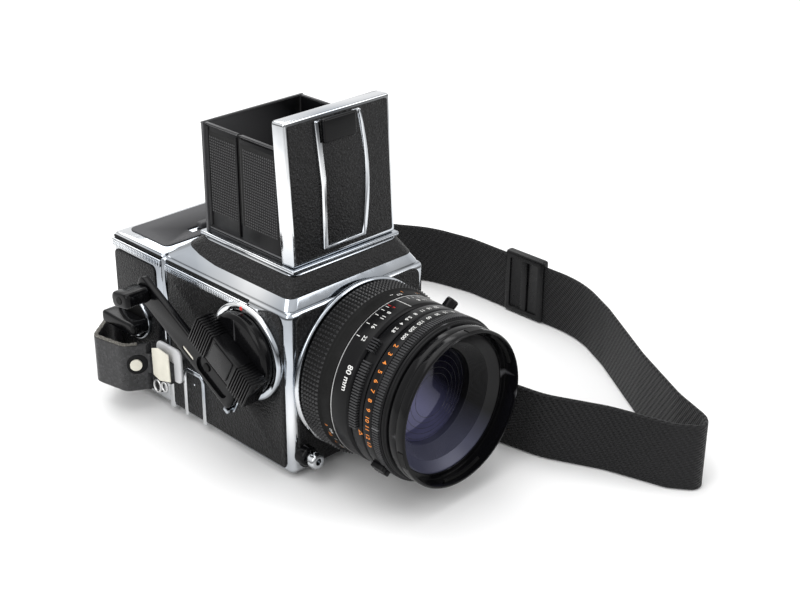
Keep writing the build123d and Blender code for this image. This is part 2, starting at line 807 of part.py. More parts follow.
with BuildPart() as magazine_top_panel:
    block((-magazine_half + 4 * cover_margin, magazine_half - 4 * cover_margin),
          (magazine_front + cover_margin, magazine_rear - 4 * corner_radius),
          (magazine_top, magazine_top + skin))
    block((-latch_half - latch_travel - body_gap, latch_half + latch_travel + body_gap),
          (latch_y - latch_depth / 2 - body_gap, latch_y + latch_depth / 2 + body_gap),
          (magazine_top - skin, magazine_top + overrun), Mode.SUBTRACT)
save(magazine_top_panel, "magazine_top_panel")

with BuildPart() as magazine_latch:
    block((-latch_half, latch_half), (latch_y - latch_depth / 2, latch_y + latch_depth / 2),
          (magazine_top + body_gap / 2, magazine_top + latch_height))
save(magazine_latch, "magazine_latch")

with BuildPart() as dark_slide:
    block((-slide_half_height, magazine_half + body_gap), (slide_y, slide_y + slide_thick),
          (lens_z - slide_half_height, lens_z + slide_half_height))
    block((magazine_half + body_gap, magazine_half + body_gap + slide_grip),
          (slide_y, slide_y + slide_thick),
          (lens_z - slide_grip_height / 2, lens_z + slide_grip_height / 2))
save(dark_slide, "dark_slide")

insert_half = magazine_half - magazine_wall - insert_margin
insert_rear = magazine_rear - magazine_wall - insert_margin
insert_low = body_bottom + magazine_wall + insert_margin
insert_high = magazine_top - magazine_wall - insert_margin
with BuildPart() as film_insert:
    block((-insert_half, magazine_half), (insert_front, insert_rear), (insert_low, insert_high))
    block((-insert_half + insert_wall, magazine_half - insert_cap),
          (insert_front + insert_wall, insert_rear + overrun),
          (insert_low + insert_wall, insert_high - insert_wall), Mode.SUBTRACT)
    for end_z in (spool_low_z, spool_high_z):
        rod_x(-insert_half, -spool_half + insert_cap, spool_y, end_z, spool_core / 2)
        rod_x(magazine_half - insert_cap, spool_half - insert_cap, spool_y, end_z, spool_core / 2)
save(film_insert, "film_insert")


def spool(z, name):
    with BuildPart() as reel:
        side_disc(-spool_half, spool_half, spool_y, z, spool_core, spool_core / 2 + running_gap)
        side_disc(-spool_half, -spool_half + spool_flange, spool_y, z, spool_radius, spool_core)
        side_disc(spool_half, spool_half - spool_flange, spool_y, z, spool_radius, spool_core)
    save(reel, name)


spool(spool_low_z, "supply_spool")
spool(spool_high_z, "takeup_spool")

with BuildPart() as film_key:
    side_disc(-magazine_half - body_gap, -magazine_half - body_gap - key_thick, key_y, key_z, key_radius)
    rod_x(-magazine_half - body_gap, -insert_half - body_gap, key_y, key_z, key_shaft_radius)
save(film_key, "film_key")

wing_face = magazine_half + 2 * body_gap + key_thick
with BuildPart() as film_key_wing:
    with BuildSketch(Plane.YZ.offset(-wing_face)) as wing:
        with Locations((key_y, key_z)):
            SlotOverall(2 * wing_half_length, 2 * wing_half_width)
    extrude(wing.sketch, amount=-wing_thick)
save(film_key_wing, "film_key_wing")

# Strap lugs, trim, clips and strap

with BuildPart() as strap_lugs:
    for side in (-1, 1):
        root_x = side * body_half
        head_x = root_x + side * lug_reach
        side_disc(root_x, head_x, lug_y, lug_z, lug_neck)
        side_disc(head_x - side * lug_neck, head_x, lug_y, lug_z, lug_radius)
save(strap_lugs, "strap_lugs")

with BuildPart() as strap_clips:
    for side in (-1, 1):
        foot = side * (body_half + lug_reach)
        block(sorted((foot, foot + side * clip_thick)), (lug_y - clip_half, lug_y + 2 * clip_half),
              (lug_z - clip_height / 2, lug_z + clip_height / 2))
save(strap_clips, "strap_clips")


def band(points, radii, low, high, thick, name, cuts=()):
    """A strap standing on edge along a route on the ground plan, with any boxes cut away."""
    with BuildPart() as strap:
        with BuildSketch(Plane.XY.offset(low)) as plan:
            with BuildLine():
                FilletPolyline(*points, radius=radii)
            trace(line_width=thick)
        extrude(plan.sketch, amount=high - low)
        print(name, round(strap.part.volume / (thick * (high - low)), 1), "mm long")
        for xs, ys, zs in cuts:
            block(xs, ys, zs, Mode.SUBTRACT)
    save(strap, name)


def out_from_side(side, route):
    return [(side * (strap_side + out), y) for out, y in route]


def in_from_slider(route):
    return [(slider_x - near, y) for near, y in route]


left_route = out_from_side(-1, left_out)
tab_cut_x = (-strap_side - 2 * tab_thick, -strap_side + 2 * tab_thick)
tab_cut_y = (left_out[0][1] - tab_thick, tab_rear)
tongue_cuts = [(tab_cut_x, tab_cut_y, (leather_low - tab_thick, tongue_low)),
               (tab_cut_x, tab_cut_y, (tongue_high, leather_low + leather_height + tab_thick))]
band(left_route, left_bends, leather_low, leather_low + leather_height, tab_thick, "left_strap_leather",
     tongue_cuts)

back_route = [left_route[-1]]
back_route += out_from_side(-1, back_out)
back_route += in_from_slider(back_in)
back_route.append((slider_x, slider_y + slider_length / 2))
band(back_route, back_bends, 0.0, strap_height, strap_thick, "strap_webbing_back")

with BuildPart() as strap_slider:
    block((slider_x - slider_thick / 2, slider_x + slider_thick / 2),
          (slider_y - slider_length / 2, slider_y + slider_length / 2), (0, slider_height))
save(strap_slider, "strap_slider")

outer_route = [(slider_x, slider_y - slider_length / 2)]
outer_route += in_from_slider(outer_in)
outer_route += out_from_side(1, fold_out + return_out)
band(outer_route, outer_bends, 0.0, strap_height, strap_thick, "strap_webbing_outer")

band(out_from_side(1, right_out), right_bends, leather_low, leather_low + leather_height, tab_thick,
     "right_strap_leather")
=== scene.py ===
import math

import bmesh
import bpy
from mathutils import Matrix, Vector


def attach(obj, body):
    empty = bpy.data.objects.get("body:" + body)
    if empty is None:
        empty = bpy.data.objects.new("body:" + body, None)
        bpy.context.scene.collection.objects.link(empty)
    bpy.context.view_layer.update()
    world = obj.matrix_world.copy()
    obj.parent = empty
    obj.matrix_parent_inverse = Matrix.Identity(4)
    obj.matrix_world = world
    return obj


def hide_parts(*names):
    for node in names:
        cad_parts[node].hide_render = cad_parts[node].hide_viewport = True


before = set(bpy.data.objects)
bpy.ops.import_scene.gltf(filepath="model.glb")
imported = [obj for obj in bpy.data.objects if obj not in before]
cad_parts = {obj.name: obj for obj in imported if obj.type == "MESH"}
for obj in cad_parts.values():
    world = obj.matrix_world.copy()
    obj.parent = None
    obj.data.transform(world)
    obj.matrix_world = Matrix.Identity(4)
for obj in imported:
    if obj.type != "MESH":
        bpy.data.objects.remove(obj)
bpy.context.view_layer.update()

bl_info = {
    "name": "Waist-level Camera",
    "version": (1, 0, 0),
    "blender": (4, 5, 0),
    "location": "View3D > Sidebar > Camera Part",
    "description": "Dresses a medium format camera, its lens, magazine and strap",
    "category": "Object",
}

MM = 0.001
BODY = "camera"

# Places and sizes that follow the solids, in millimetres
BODY_HALF = 40.0
BODY_FRONT = -43.2
BODY_REAR = 43.0
BODY_LOW = 1.5
SHOULDER_Z = 79.5
MAGAZINE_REAR = 82.4
MAGAZINE_HALF = 39.6
MAGAZINE_TOP = 79.0
COWL_TOP = 92.5
LENS_Z = 44.4
CRANK_Y = -17.0
CRANK_Z = 54.0
CRANK_SLOPE = 29.0
DISC_FACE_X = 48.0
ARM_FACE_X = 49.2
KNOB_TOP_X = 56.0
HANDLE_ALONG = 56.0
ARM_OFFSET = 17.2
HANDLE_TILT = -10.0
KEY_Y = 64.6
KEY_Z = 41.5
BUTTON_X = -34.0
BUTTON_Z = 11.2
LID_LEAN = 3.6
LID_FRONT = -34.9
LID_LOW = 94.3
LID_HALF = 29.6
LID_HIGH = 157.0
HOOD_TOP = 143.6
HOOD_RIM_ZS = (143.2, 144.0)
LEAF_FACE = 27.6
LEAF_STEP_FACE = 28.35
SKIN_LOW, SKIN_HIGH = -0.3, 0.8


def finish_slot(obj, body, slot, *nodes):
    """Rides a finished piece on its body and hides the solids that it stands for. The finish's name, slot, is not
    used.
    """
    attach(obj, body)
    if nodes:
        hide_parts(*nodes)
    return obj


# Node materials


class Shader:
    """A small helper that strings shader nodes together."""

    def __init__(self, name):
        self.material = bpy.data.materials.new(name)
        self.material.use_nodes = True
        self.tree = self.material.node_tree
        self.bsdf = self.tree.nodes["Principled BSDF"]
        self.coords = self.tree.nodes.new("ShaderNodeTexCoord")

    def node(self, kind, **values):
        made = self.tree.nodes.new(kind)
        for key, value in values.items():
            setattr(made, key, value)
        return made

    def link(self, out, into):
        self.tree.links.new(out, into)

    def set(self, **values):
        for key, value in values.items():
            self.bsdf.inputs[key.replace("_", " ")].default_value = value

    def noise(self, scale, detail=3.0, rough=0.55, source=None):
        made = self.node("ShaderNodeTexNoise")
        made.inputs["Scale"].default_value = scale
        made.inputs["Detail"].default_value = detail
        made.inputs["Roughness"].default_value = rough
        self.link(source or self.coords.outputs["Object"], made.inputs["Vector"])
        return made.outputs["Fac"]

    def cells(self, scale):
        made = self.node("ShaderNodeTexVoronoi", feature="SMOOTH_F1")
        made.inputs["Scale"].default_value = scale
        self.link(self.coords.outputs["Object"], made.inputs["Vector"])
        return made.outputs["Distance"]

    def ramp(self, source, low, high, at_low=0.0, at_high=1.0):
        made = self.node("ShaderNodeMapRange")
        made.inputs["From Min"].default_value = at_low
        made.inputs["From Max"].default_value = at_high
        made.inputs["To Min"].default_value = low
        made.inputs["To Max"].default_value = high
        self.link(source, made.inputs["Value"])
        return made.outputs["Result"]

    def mix(self, factor, first, second):
        made = self.node("ShaderNodeMix", data_type="RGBA")
        self.link(factor, made.inputs[0])
        made.inputs[6].default_value = (*first, 1.0)
        made.inputs[7].default_value = (*second, 1.0)
        return made.outputs[2]

    def bump(self, height, distance, after=None):
        made = self.node("ShaderNodeBump")
        made.inputs["Distance"].default_value = distance
        self.link(height, made.inputs["Height"])
        if after is not None:
            self.link(after, made.inputs["Normal"])
        return made.outputs["Normal"]

    def wear(self):
        """One where an edge stands out far enough to take a painted highlight, nought elsewhere."""
        geometry = self.node("ShaderNodeNewGeometry")
        return self.ramp(geometry.outputs["Pointiness"], 0.0, 1.0, 0.58, 0.70)


def leather_material(name, dark, light, cell, depth, gloss, shine=0.25):
    """Pebbled leather: rounded cells with painted shade in their creases and painted highlights on their tops, and a
    slow change of tone.
    """
    s = Shader(name)
    grain = s.cells(1.0 / cell)
    fine = s.noise(1.6 / cell, detail=4.0)
    tops = s.node("ShaderNodeMath", operation="MULTIPLY")
    s.link(s.ramp(grain, 1.0, 0.0, 0.10, 0.52), tops.inputs[0])
    s.link(s.ramp(fine, 0.0, 1.0, 0.38, 0.66), tops.inputs[1])
    # Dark in the creases is painted shade, light on the pebbles' tops a painted highlight.
    s.link(s.mix(tops.outputs[0], dark, light), s.bsdf.inputs["Base Color"])
    s.link(s.ramp(fine, gloss + 0.14, gloss - 0.10, 0.35, 0.65), s.bsdf.inputs["Roughness"])
    first = s.bump(s.ramp(grain, 1.0, 0.0, 0.0, 0.75), depth)
    s.link(s.bump(fine, depth * 0.6, after=first), s.bsdf.inputs["Normal"])
    s.set(Specular_IOR_Level=shine)
    return s.material


def chrome_material(name, tint=(0.80, 0.81, 0.82), low=0.06, high=0.16, scuff=0.00001, lines=True):
    """Polished plate with faint wipe marks, and painted reflections in its colour: dark lines where its edges turn
    towards the sky, light and dark bands elsewhere by how each face turns, and bluish patches.
    """
    s = Shader(name)
    marks = s.noise(240.0, detail=5.0)
    slow = s.noise(35.0)
    colour = s.mix(slow, tint, tuple(c * 0.93 for c in tint))
    # With lines on, the colour carries painted reflections: bands by how each face turns, under bluish patches.
    if lines:
        geometry = s.node("ShaderNodeNewGeometry")
        split = s.node("ShaderNodeSeparateXYZ")
        s.link(geometry.outputs["Normal"], split.inputs["Vector"])
        wander = s.node("ShaderNodeMath", operation="MULTIPLY_ADD")
        s.link(slow, wander.inputs[0])
        wander.inputs[1].default_value = 0.06
        s.link(s.ramp(split.outputs["Z"], 0.0, 1.0, -1.0, 1.0), wander.inputs[2])
        ramp = s.node("ShaderNodeValToRGB")
        reflection_bands = ((0.0, 0.22), (0.30, 0.45), (0.46, 0.78), (0.55, 0.88), (0.60, 0.30), (0.66, 0.10), (0.73, 0.62),
                 (0.80, 0.86), (0.88, 0.80), (0.93, 0.34), (0.965, 0.72), (1.0, 0.84))
        while len(ramp.color_ramp.elements) < len(reflection_bands):
            ramp.color_ramp.elements.new(0.5)
        for element, (place, value) in zip(ramp.color_ramp.elements, reflection_bands):
            element.position = place
            element.color = (value * 0.97, value * 0.985, value, 1.0)
        s.link(wander.outputs[0], ramp.inputs["Fac"])
        painted_reflection = s.node("ShaderNodeMix", data_type="RGBA", blend_type="MULTIPLY")
        painted_reflection.inputs[0].default_value = 1.0
        s.link(ramp.outputs["Color"], painted_reflection.inputs[6])
        s.link(s.mix(s.ramp(s.noise(16.0, detail=1.0), 0.0, 1.0, 0.40, 0.56), (0.55, 0.58, 0.62), (1.0, 1.0, 1.0)),
               painted_reflection.inputs[7])
        colour = painted_reflection.outputs[2]
    s.link(colour, s.bsdf.inputs["Base Color"])
    s.link(s.ramp(marks, low, high, 0.35, 0.7), s.bsdf.inputs["Roughness"])
    s.link(s.bump(slow, scuff), s.bsdf.inputs["Normal"])
    s.set(Metallic=1.0)
    return s.material


def black_metal_material(name, dark=(0.0035, 0.0035, 0.004), edge=(0.12, 0.12, 0.125), gloss=0.30, grain=0.00001):
    """Black finish on metal, a little lighter on sharp edges as a painted highlight."""
    s = Shader(name)
    fine = s.noise(2600.0, detail=2.0)
    slow = s.noise(120.0)
    edge_highlight_mask = s.wear()
    # The edge colour is a painted highlight on sharp edges.
    s.link(s.mix(edge_highlight_mask, dark, edge), s.bsdf.inputs["Base Color"])
    s.link(s.ramp(slow, gloss - 0.06, gloss + 0.10), s.bsdf.inputs["Roughness"])
    s.link(s.bump(fine, grain), s.bsdf.inputs["Normal"])
    s.set(Specular_IOR_Level=0.14)
    return s.material


def steel_material(name, tint=(0.56, 0.56, 0.57), rough=0.3):
    """Brushed steel with fine lines along X."""
    s = Shader(name)
    mapping = s.node("ShaderNodeMapping")
    mapping.inputs["Scale"].default_value = (20.0, 1600.0, 1600.0)
    s.link(s.coords.outputs["Object"], mapping.inputs["Vector"])
    lines = s.noise(1.0, detail=3.0, source=mapping.outputs["Vector"])
    s.link(s.mix(lines, tint, tuple(c * 0.8 for c in tint)), s.bsdf.inputs["Base Color"])
    s.link(s.ramp(lines, rough - 0.08, rough + 0.1), s.bsdf.inputs["Roughness"])
    s.link(s.bump(lines, 0.00001), s.bsdf.inputs["Normal"])
    s.set(Metallic=1.0)
    return s.material


def rubber_material(name):
    """Dull black rubber with a little dust in its grain."""
    s = Shader(name)
    fine = s.noise(1800.0, detail=4.0)
    dust = s.noise(160.0)
    s.link(s.mix(s.ramp(dust, 0.0, 1.0, 0.45, 0.8), (0.003, 0.003, 0.003), (0.007, 0.007, 0.007)),
           s.bsdf.inputs["Base Color"])
    s.link(s.ramp(fine, 0.5, 0.72), s.bsdf.inputs["Roughness"])
    s.link(s.bump(fine, 0.00003), s.bsdf.inputs["Normal"])
    s.set(Specular_IOR_Level=0.15)
    return s.material


def plastic_material(name, colour, rough=0.25, shine=0.2):
    """Moulded plastic with slight unevenness."""
    s = Shader(name)
    slow = s.noise(140.0)
    s.link(s.mix(slow, colour, tuple(c * 1.4 + 0.001 for c in colour)), s.bsdf.inputs["Base Color"])
    s.link(s.ramp(slow, rough - 0.05, rough + 0.12), s.bsdf.inputs["Roughness"])
    s.link(s.bump(s.noise(900.0), 0.00001), s.bsdf.inputs["Normal"])
    s.set(Specular_IOR_Level=shine)
    return s.material


def paint_material(name, colour):
    """Engraving paint."""
    s = Shader(name)
    slow = s.noise(700.0)
    s.link(s.mix(slow, colour, tuple(c * 0.86 for c in colour)), s.bsdf.inputs["Base Color"])
    s.link(s.ramp(slow, 0.45, 0.6), s.bsdf.inputs["Roughness"])
    return s.material


def webbing_material(name, dark, light):
    """Ribbed black webbing, with painted shade in the hollows between its ribs and a painted highlight on their tops.
    The piece's own UV map is in metres along and across the strap.
    """
    s = Shader(name)
    uv = s.coords.outputs["UV"]
    mapping = s.node("ShaderNodeMapping")
    mapping.inputs["Scale"].default_value = (330.0, 480.0, 1.0)
    s.link(uv, mapping.inputs["Vector"])
    split = s.node("ShaderNodeSeparateXYZ")
    s.link(mapping.outputs["Vector"], split.inputs["Vector"])

    def wave(source):
        times = s.node("ShaderNodeMath", operation="MULTIPLY")
        s.link(source, times.inputs[0])
        times.inputs[1].default_value = 2.0 * math.pi
        sine = s.node("ShaderNodeMath", operation="SINE")
        s.link(times.outputs[0], sine.inputs[0])
        return sine.outputs[0]

    slant = s.node("ShaderNodeMath", operation="MULTIPLY_ADD")
    s.link(split.outputs["Y"], slant.inputs[0])
    slant.inputs[1].default_value = 0.5
    s.link(split.outputs["X"], slant.inputs[2])
    product = s.node("ShaderNodeMath", operation="MULTIPLY")
    s.link(wave(slant.outputs[0]), product.inputs[0])
    s.link(wave(split.outputs["Y"]), product.inputs[1])
    fuzz = s.noise(5200.0, detail=2.0)
    added = s.node("ShaderNodeMath", operation="MULTIPLY_ADD")
    s.link(fuzz, added.inputs[0])
    added.inputs[1].default_value = 0.5
    s.link(product.outputs[0], added.inputs[2])
    height = s.ramp(added.outputs[0], 0.0, 1.0, -1.0, 1.4)
    # Dark in the hollows is painted shade, light on the ribs a painted highlight.
    s.link(s.mix(height, dark, light), s.bsdf.inputs["Base Color"])
    s.link(s.bump(height, 0.0009), s.bsdf.inputs["Normal"])
    s.set(Roughness=0.55, Specular_IOR_Level=0.2, Sheen_Weight=0.04, Sheen_Roughness=0.4)
    return s.material


def glass_material(name, tint, rough=0.02, coat=None):
    """Optical glass."""
    s = Shader(name)
    s.set(Transmission_Weight=1.0, IOR=1.52, Roughness=rough)
    s.link(s.mix(s.noise(20.0), tint, tuple(c * 0.98 for c in tint)), s.bsdf.inputs["Base Color"])
    if coat:
        s.set(Thin_Film_Thickness=coat, Thin_Film_IOR=1.38)
    return s.material


def deep_glass_material(name, dark_side, edge, rough=0.05, metal=0.35):
    """A coated inner element with a painted reflection, violet-blue towards one side and dark towards the other."""
    s = Shader(name)
    split = s.node("ShaderNodeSeparateXYZ")
    s.link(s.coords.outputs["Object"], split.inputs["Vector"])
    slant = s.node("ShaderNodeMath", operation="ADD")
    s.link(split.outputs["Z"], slant.inputs[0])
    s.link(split.outputs["X"], slant.inputs[1])
    # Where Z plus X is low the colour is edge, the painted reflection's; where it is high, the dark side's.
    s.link(s.mix(s.ramp(slant.outputs[0], 1.0, 0.0, 0.034, 0.056), dark_side, edge), s.bsdf.inputs["Base Color"])
    s.link(s.ramp(s.noise(60.0), rough - 0.02, rough + 0.03), s.bsdf.inputs["Roughness"])
    s.set(Metallic=metal, Specular_IOR_Level=0.3)
    return s.material


MATS = {}


def make_materials():
    colours = numbers("finishes")
    # Each leather's first colour is painted shade in its creases, its second a painted highlight on its pebbles.
    MATS["leather"] = leather_material("body_leather", tuple(colours.leather_dark), tuple(colours.leather_light),
                                       colours.leather_grain, 0.00034, 0.40, 0.22)
    MATS["strap_leather"] = leather_material("strap_leather", (0.014, 0.014, 0.015), (0.050, 0.050, 0.054),
                                             0.0016, 0.00008, 0.36, 0.4)
    MATS["raw_edge"] = leather_material("strap_raw_edge", (0.10, 0.095, 0.085), (0.36, 0.35, 0.32),
                                        0.0007, 0.0003, 0.8)
    MATS["chrome"] = chrome_material("bright_chrome")
    MATS["satin"] = chrome_material("satin_chrome", (0.60, 0.60, 0.60), 0.25, 0.38, lines=False)
    # The second colour of each black finish is its painted edge highlight.
    MATS["black"] = black_metal_material("black_enamel")
    MATS["matt"] = black_metal_material("matt_black_paint", (0.003, 0.003, 0.003), (0.010, 0.010, 0.010), 0.55)
    MATS["gloss"] = black_metal_material("gloss_black_enamel", (0.003, 0.003, 0.0035), (0.09, 0.09, 0.095), 0.14)
    MATS["steel"] = steel_material("brushed_steel")
    MATS["rubber"] = rubber_material("knurled_rubber")
    # The leaf studs are lighter than the leaf's own black: a painted highlight on their tops.
    MATS["grid"] = plastic_material("leaf_stud_tops_painted_highlight", (0.020, 0.020, 0.021), 0.34, 0.4)
    # The knurl's studs are a lighter copy of the rubber: a painted highlight on their tips.
    MATS["knurl"] = plastic_material("knurl_tips_painted_highlight", (0.016, 0.016, 0.017), 0.24, 0.5)
    MATS["plastic"] = plastic_material("black_moulding", (0.004, 0.004, 0.0045))
    MATS["grey_top"] = plastic_material("dark_grey_top", (0.045, 0.045, 0.048), 0.48)
    MATS["white"] = paint_material("white_paint", tuple(colours.number_white))
    MATS["orange"] = paint_material("orange_paint", tuple(colours.number_orange))
    MATS["red"] = paint_material("red_paint", (0.65, 0.02, 0.015))
    MATS["cream"] = plastic_material("cream_stud", (0.62, 0.60, 0.52), 0.35)
    # The webbing's two colours are painted shade in its hollows and a painted highlight on its ribs.
    MATS["webbing"] = webbing_material("ribbed_webbing", tuple(colours.strap_dark), tuple(colours.strap_light))
    MATS["glass"] = glass_material("front_element_glass", (0.93, 0.92, 1.0), coat=420.0)
    MATS["screen"] = glass_material("ground_screen_glass", (0.80, 0.82, 0.82), 0.35)
    # The front glass and the baffle carry a painted reflection, violet-blue where Z plus X is low.
    MATS["deep"] = deep_glass_material("inner_glass_painted_reflection", (0.004, 0.004, 0.009), tuple(colours.coating))
    MATS["baffle"] = deep_glass_material("baffle_painted_reflection", (0.0025, 0.0025, 0.003), (0.050, 0.052, 0.085),
                                         0.32, 0.2)
    MATS["plated"] = plastic_material("pale_plated_steel", (0.46, 0.465, 0.475), 0.3, 0.7)
    MATS["clip"] = plastic_material("cream_clip", (0.60, 0.58, 0.50), 0.4)
    MATS["mirror"] = chrome_material("silvered_mirror", (0.92, 0.92, 0.93), 0.01, 0.03, 0.000001, lines=False)


# Mesh making


# Degrees between two faces, from which their shared edge is drawn sharp
SMOOTH_ANGLE = 38.0
LATHE_ANGLE = 32.0
STUD_ANGLE = 20.0
SQUARE = ((-1, -1), (1, -1), (1, 1), (-1, 1))


def put_in_scene(name, data):
    """A new object at the origin that shows some data."""
    obj = bpy.data.objects.new(name, data)
    bpy.context.scene.collection.objects.link(obj)
    return obj


def plain_mesh(name, bm):
    """Ends a bmesh and hands on its mesh."""
    mesh = bpy.data.meshes.new(name)
    bm.to_mesh(mesh)
    bm.free()
    return mesh


def evaluated_mesh(obj):
    """An object's mesh with its modifiers, or its text's outlines, made real."""
    bpy.context.view_layer.update()
    graph = bpy.context.evaluated_depsgraph_get()
    return bpy.data.meshes.new_from_object(obj.evaluated_get(graph))


def add_object(name, mesh, mat, smooth=SMOOTH_ANGLE):
    """A piece with one finish, shaded smooth between its sharp edges."""
    obj = put_in_scene(name, mesh)
    mesh.materials.append(MATS[mat])
    shade(obj, smooth)
    return obj


def shade(obj, smooth=SMOOTH_ANGLE):
    """Smooth shading that stops at the edges which turn more than an angle in degrees."""
    obj.data.shade_smooth()
    obj.data.set_sharp_from_angle(angle=math.radians(smooth))


def from_bmesh(name, bm, mat, smooth=SMOOTH_ANGLE):
    """Closes a shell, turns its faces outwards and makes a piece of it."""
    bmesh.ops.remove_doubles(bm, verts=bm.verts, dist=1e-6)
    bmesh.ops.recalc_face_normals(bm, faces=bm.faces)
    return add_object(name, plain_mesh(name, bm), mat, smooth)


def bridge(bm, here, there):
    """Faces between two closed rings that have as many points."""
    count = len(here)
    for i in range(count):
        j = (i + 1) % count
        bm.faces.new((here[i], here[j], there[j], there[i]))


def loft(name, places, mat, smooth=SMOOTH_ANGLE):
    """A shell through several rings of places, closed at both ends."""
    bm = bmesh.new()
    rings = [[bm.verts.new(place) for place in ring] for ring in places]
    for here, there in zip(rings, rings[1:]):
        bridge(bm, here, there)
    bm.faces.new(reversed(rings[0]))
    bm.faces.new(rings[-1])
    return from_bmesh(name, bm, mat, smooth)


def rounded_box(name, xs, ys, zs, radius, mat, segments=3):
    """A box between named places, with rounded edges."""
    bm = bmesh.new()
    bmesh.ops.create_cube(bm, size=1.0)
    size = Vector((xs[1] - xs[0], ys[1] - ys[0], zs[1] - zs[0])) * MM
    middle = Vector((xs[0] + xs[1], ys[0] + ys[1], zs[0] + zs[1])) * MM / 2
    for v in bm.verts:
        v.co = Vector((v.co.x * size.x, v.co.y * size.y, v.co.z * size.z)) + middle
    if radius > 0:
        bmesh.ops.bevel(bm, geom=bm.edges[:], offset=radius * MM, segments=segments, profile=0.5,
                        affect="EDGES", clamp_overlap=True)
    return from_bmesh(name, bm, mat)


def prism(name, outline, plane, low, high, bevel, mat, segments=2):
    """A plate with a drawn outline, raised from one height to another above its plane."""
    origin, u, v, n = plane
    bm = bmesh.new()
    floor = [bm.verts.new((origin + u * (a * MM) + v * (b * MM) + n * (low * MM))) for a, b in outline]
    face = bm.faces.new(floor)
    made = bmesh.ops.extrude_face_region(bm, geom=[face])
    top = [g for g in made["geom"] if isinstance(g, bmesh.types.BMVert)]
    bmesh.ops.translate(bm, verts=top, vec=n * ((high - low) * MM))
    bmesh.ops.recalc_face_normals(bm, faces=bm.faces)
    if bevel > 0:
        rim = [e for e in bm.edges if len(e.link_faces) == 2
               and e.calc_face_angle(0) > math.radians(50)]
        bmesh.ops.bevel(bm, geom=rim, offset=bevel * MM, segments=segments, profile=0.5, affect="EDGES",
                        clamp_overlap=True)
    return from_bmesh(name, bm, mat)


def rounded_outline(width, height, radius, steps=5, middle=(0.0, 0.0)):
    """A rectangle with round corners."""
    points = []
    for sx, sy, start in ((1, 1, 0), (-1, 1, 90), (-1, -1, 180), (1, -1, 270)):
        cx = sx * (width / 2 - radius) + middle[0]
        cy = sy * (height / 2 - radius) + middle[1]
        for k in range(steps + 1):
            t = math.radians(start + 90 * k / steps)
            points.append((cx + radius * math.cos(t), cy + radius * math.sin(t)))
    return points


def lens_point(a, r, t):
    """A point about the lens axis: y place, radius, and turn from the top towards +X."""
    return Vector((r * math.sin(t) * MM, a * MM, (LENS_Z + r * math.cos(t)) * MM))


def side_point(y, z):
    """A point maker about an axis along X."""
    def place(a, r, t):
        return Vector((a * MM, (y + r * math.sin(t)) * MM, (z + r * math.cos(t)) * MM))
    return place


def button_point(a, r, t):
    """A point about the release button's axis, which is along Y."""
    return Vector(((BUTTON_X + r * math.sin(t)) * MM, a * MM, (BUTTON_Z + r * math.cos(t)) * MM))


def lathe(name, profile, place, mat, steps=128):
    """A closed profile of (place, radius) pairs, turned about an axis."""
    bm = bmesh.new()
    rings = []
    for k in range(steps):
        t = 2 * math.pi * k / steps
        rings.append([bm.verts.new(place(a, r, t)) for a, r in profile])
    count = len(profile)
    for k in range(steps):
        here, there = rings[k], rings[(k + 1) % steps]
        for i in range(count):
            j = (i + 1) % count
            if profile[i][1] > 1e-6 or profile[j][1] > 1e-6:
                bm.faces.new((here[i], here[j], there[j], there[i]))
    bmesh.ops.remove_doubles(bm, verts=bm.verts, dist=1e-6)
    bmesh.ops.dissolve_degenerate(bm, edges=bm.edges, dist=1e-6)
    return from_bmesh(name, bm, mat, LATHE_ANGLE)


def chamfered(points, cut=0.3):
    """Breaks each sharp corner of a closed profile with a small chamfer."""
    out = []
    count = len(points)
    for i, p in enumerate(points):
        before, after = Vector(points[i - 1]), Vector(points[(i + 1) % count])
        here = Vector(p)
        if here.y < 1e-6:
            out.append(tuple(here))
            continue
        for other in (before, after):
            step = min(cut, (other - here).length * 0.4)
            out.append(tuple(here + (other - here).normalized() * step))
    return out


def carve(obj, *cutters):
    """Cuts other meshes out of a piece and removes them."""
    for cutter in cutters:
        modifier = obj.modifiers.new("cut", "BOOLEAN")
        modifier.object = cutter
        modifier.solver = "EXACT"
        apply_modifiers(obj)
        bpy.data.objects.remove(cutter)


def apply_modifiers(obj):
    """Turns a piece with live modifiers into its plain mesh."""
    mesh = evaluated_mesh(obj)
    old = obj.data
    obj.modifiers.clear()
    obj.data = mesh
    if old.users == 0:
        bpy.data.meshes.remove(old)


def join(name, parts):
    """Joins pieces of one body into a single mesh, keeping their materials."""
    bm = bmesh.new()
    mats = []
    for part in parts:
        start = len(bm.faces)
        bm.from_mesh(part.data)
        bm.faces.ensure_lookup_table()
        mat = part.data.materials[0]
        if mat not in mats:
            mats.append(mat)
        for face in bm.faces[start:]:
            face.material_index = mats.index(mat)
        bpy.data.objects.remove(part)
    mesh = plain_mesh(name, bm)
    for mat in mats:
        mesh.materials.append(mat)
    return put_in_scene(name, mesh)


def text_shape(text, size):
    """The points and faces of a word or number, flat and centred on its own middle."""
    curve = bpy.data.curves.new("mark", "FONT")
    curve.body = text
    curve.size = size * MM
    curve.align_x = "CENTER"
    curve.align_y = "CENTER"
    curve.resolution_u = 3
    curve.offset = 0.012 * size * MM
    obj = put_in_scene("mark", curve)
    mesh = evaluated_mesh(obj)
    points = [v.co.copy() for v in mesh.vertices]
    faces = [tuple(p.vertices) for p in mesh.polygons]
    bpy.data.objects.remove(obj)
    bpy.data.curves.remove(curve)
    bpy.data.meshes.remove(mesh)
    return points, faces


MARK_LIFT = 0.05
LINE_WIDTH = 0.32
BARREL_RADIUS = 36.6
FOCUS_RADIUS = 36.9
GRIP_RADIUS = 37.9
KNURL_SIZE = (1.5, 1.35)


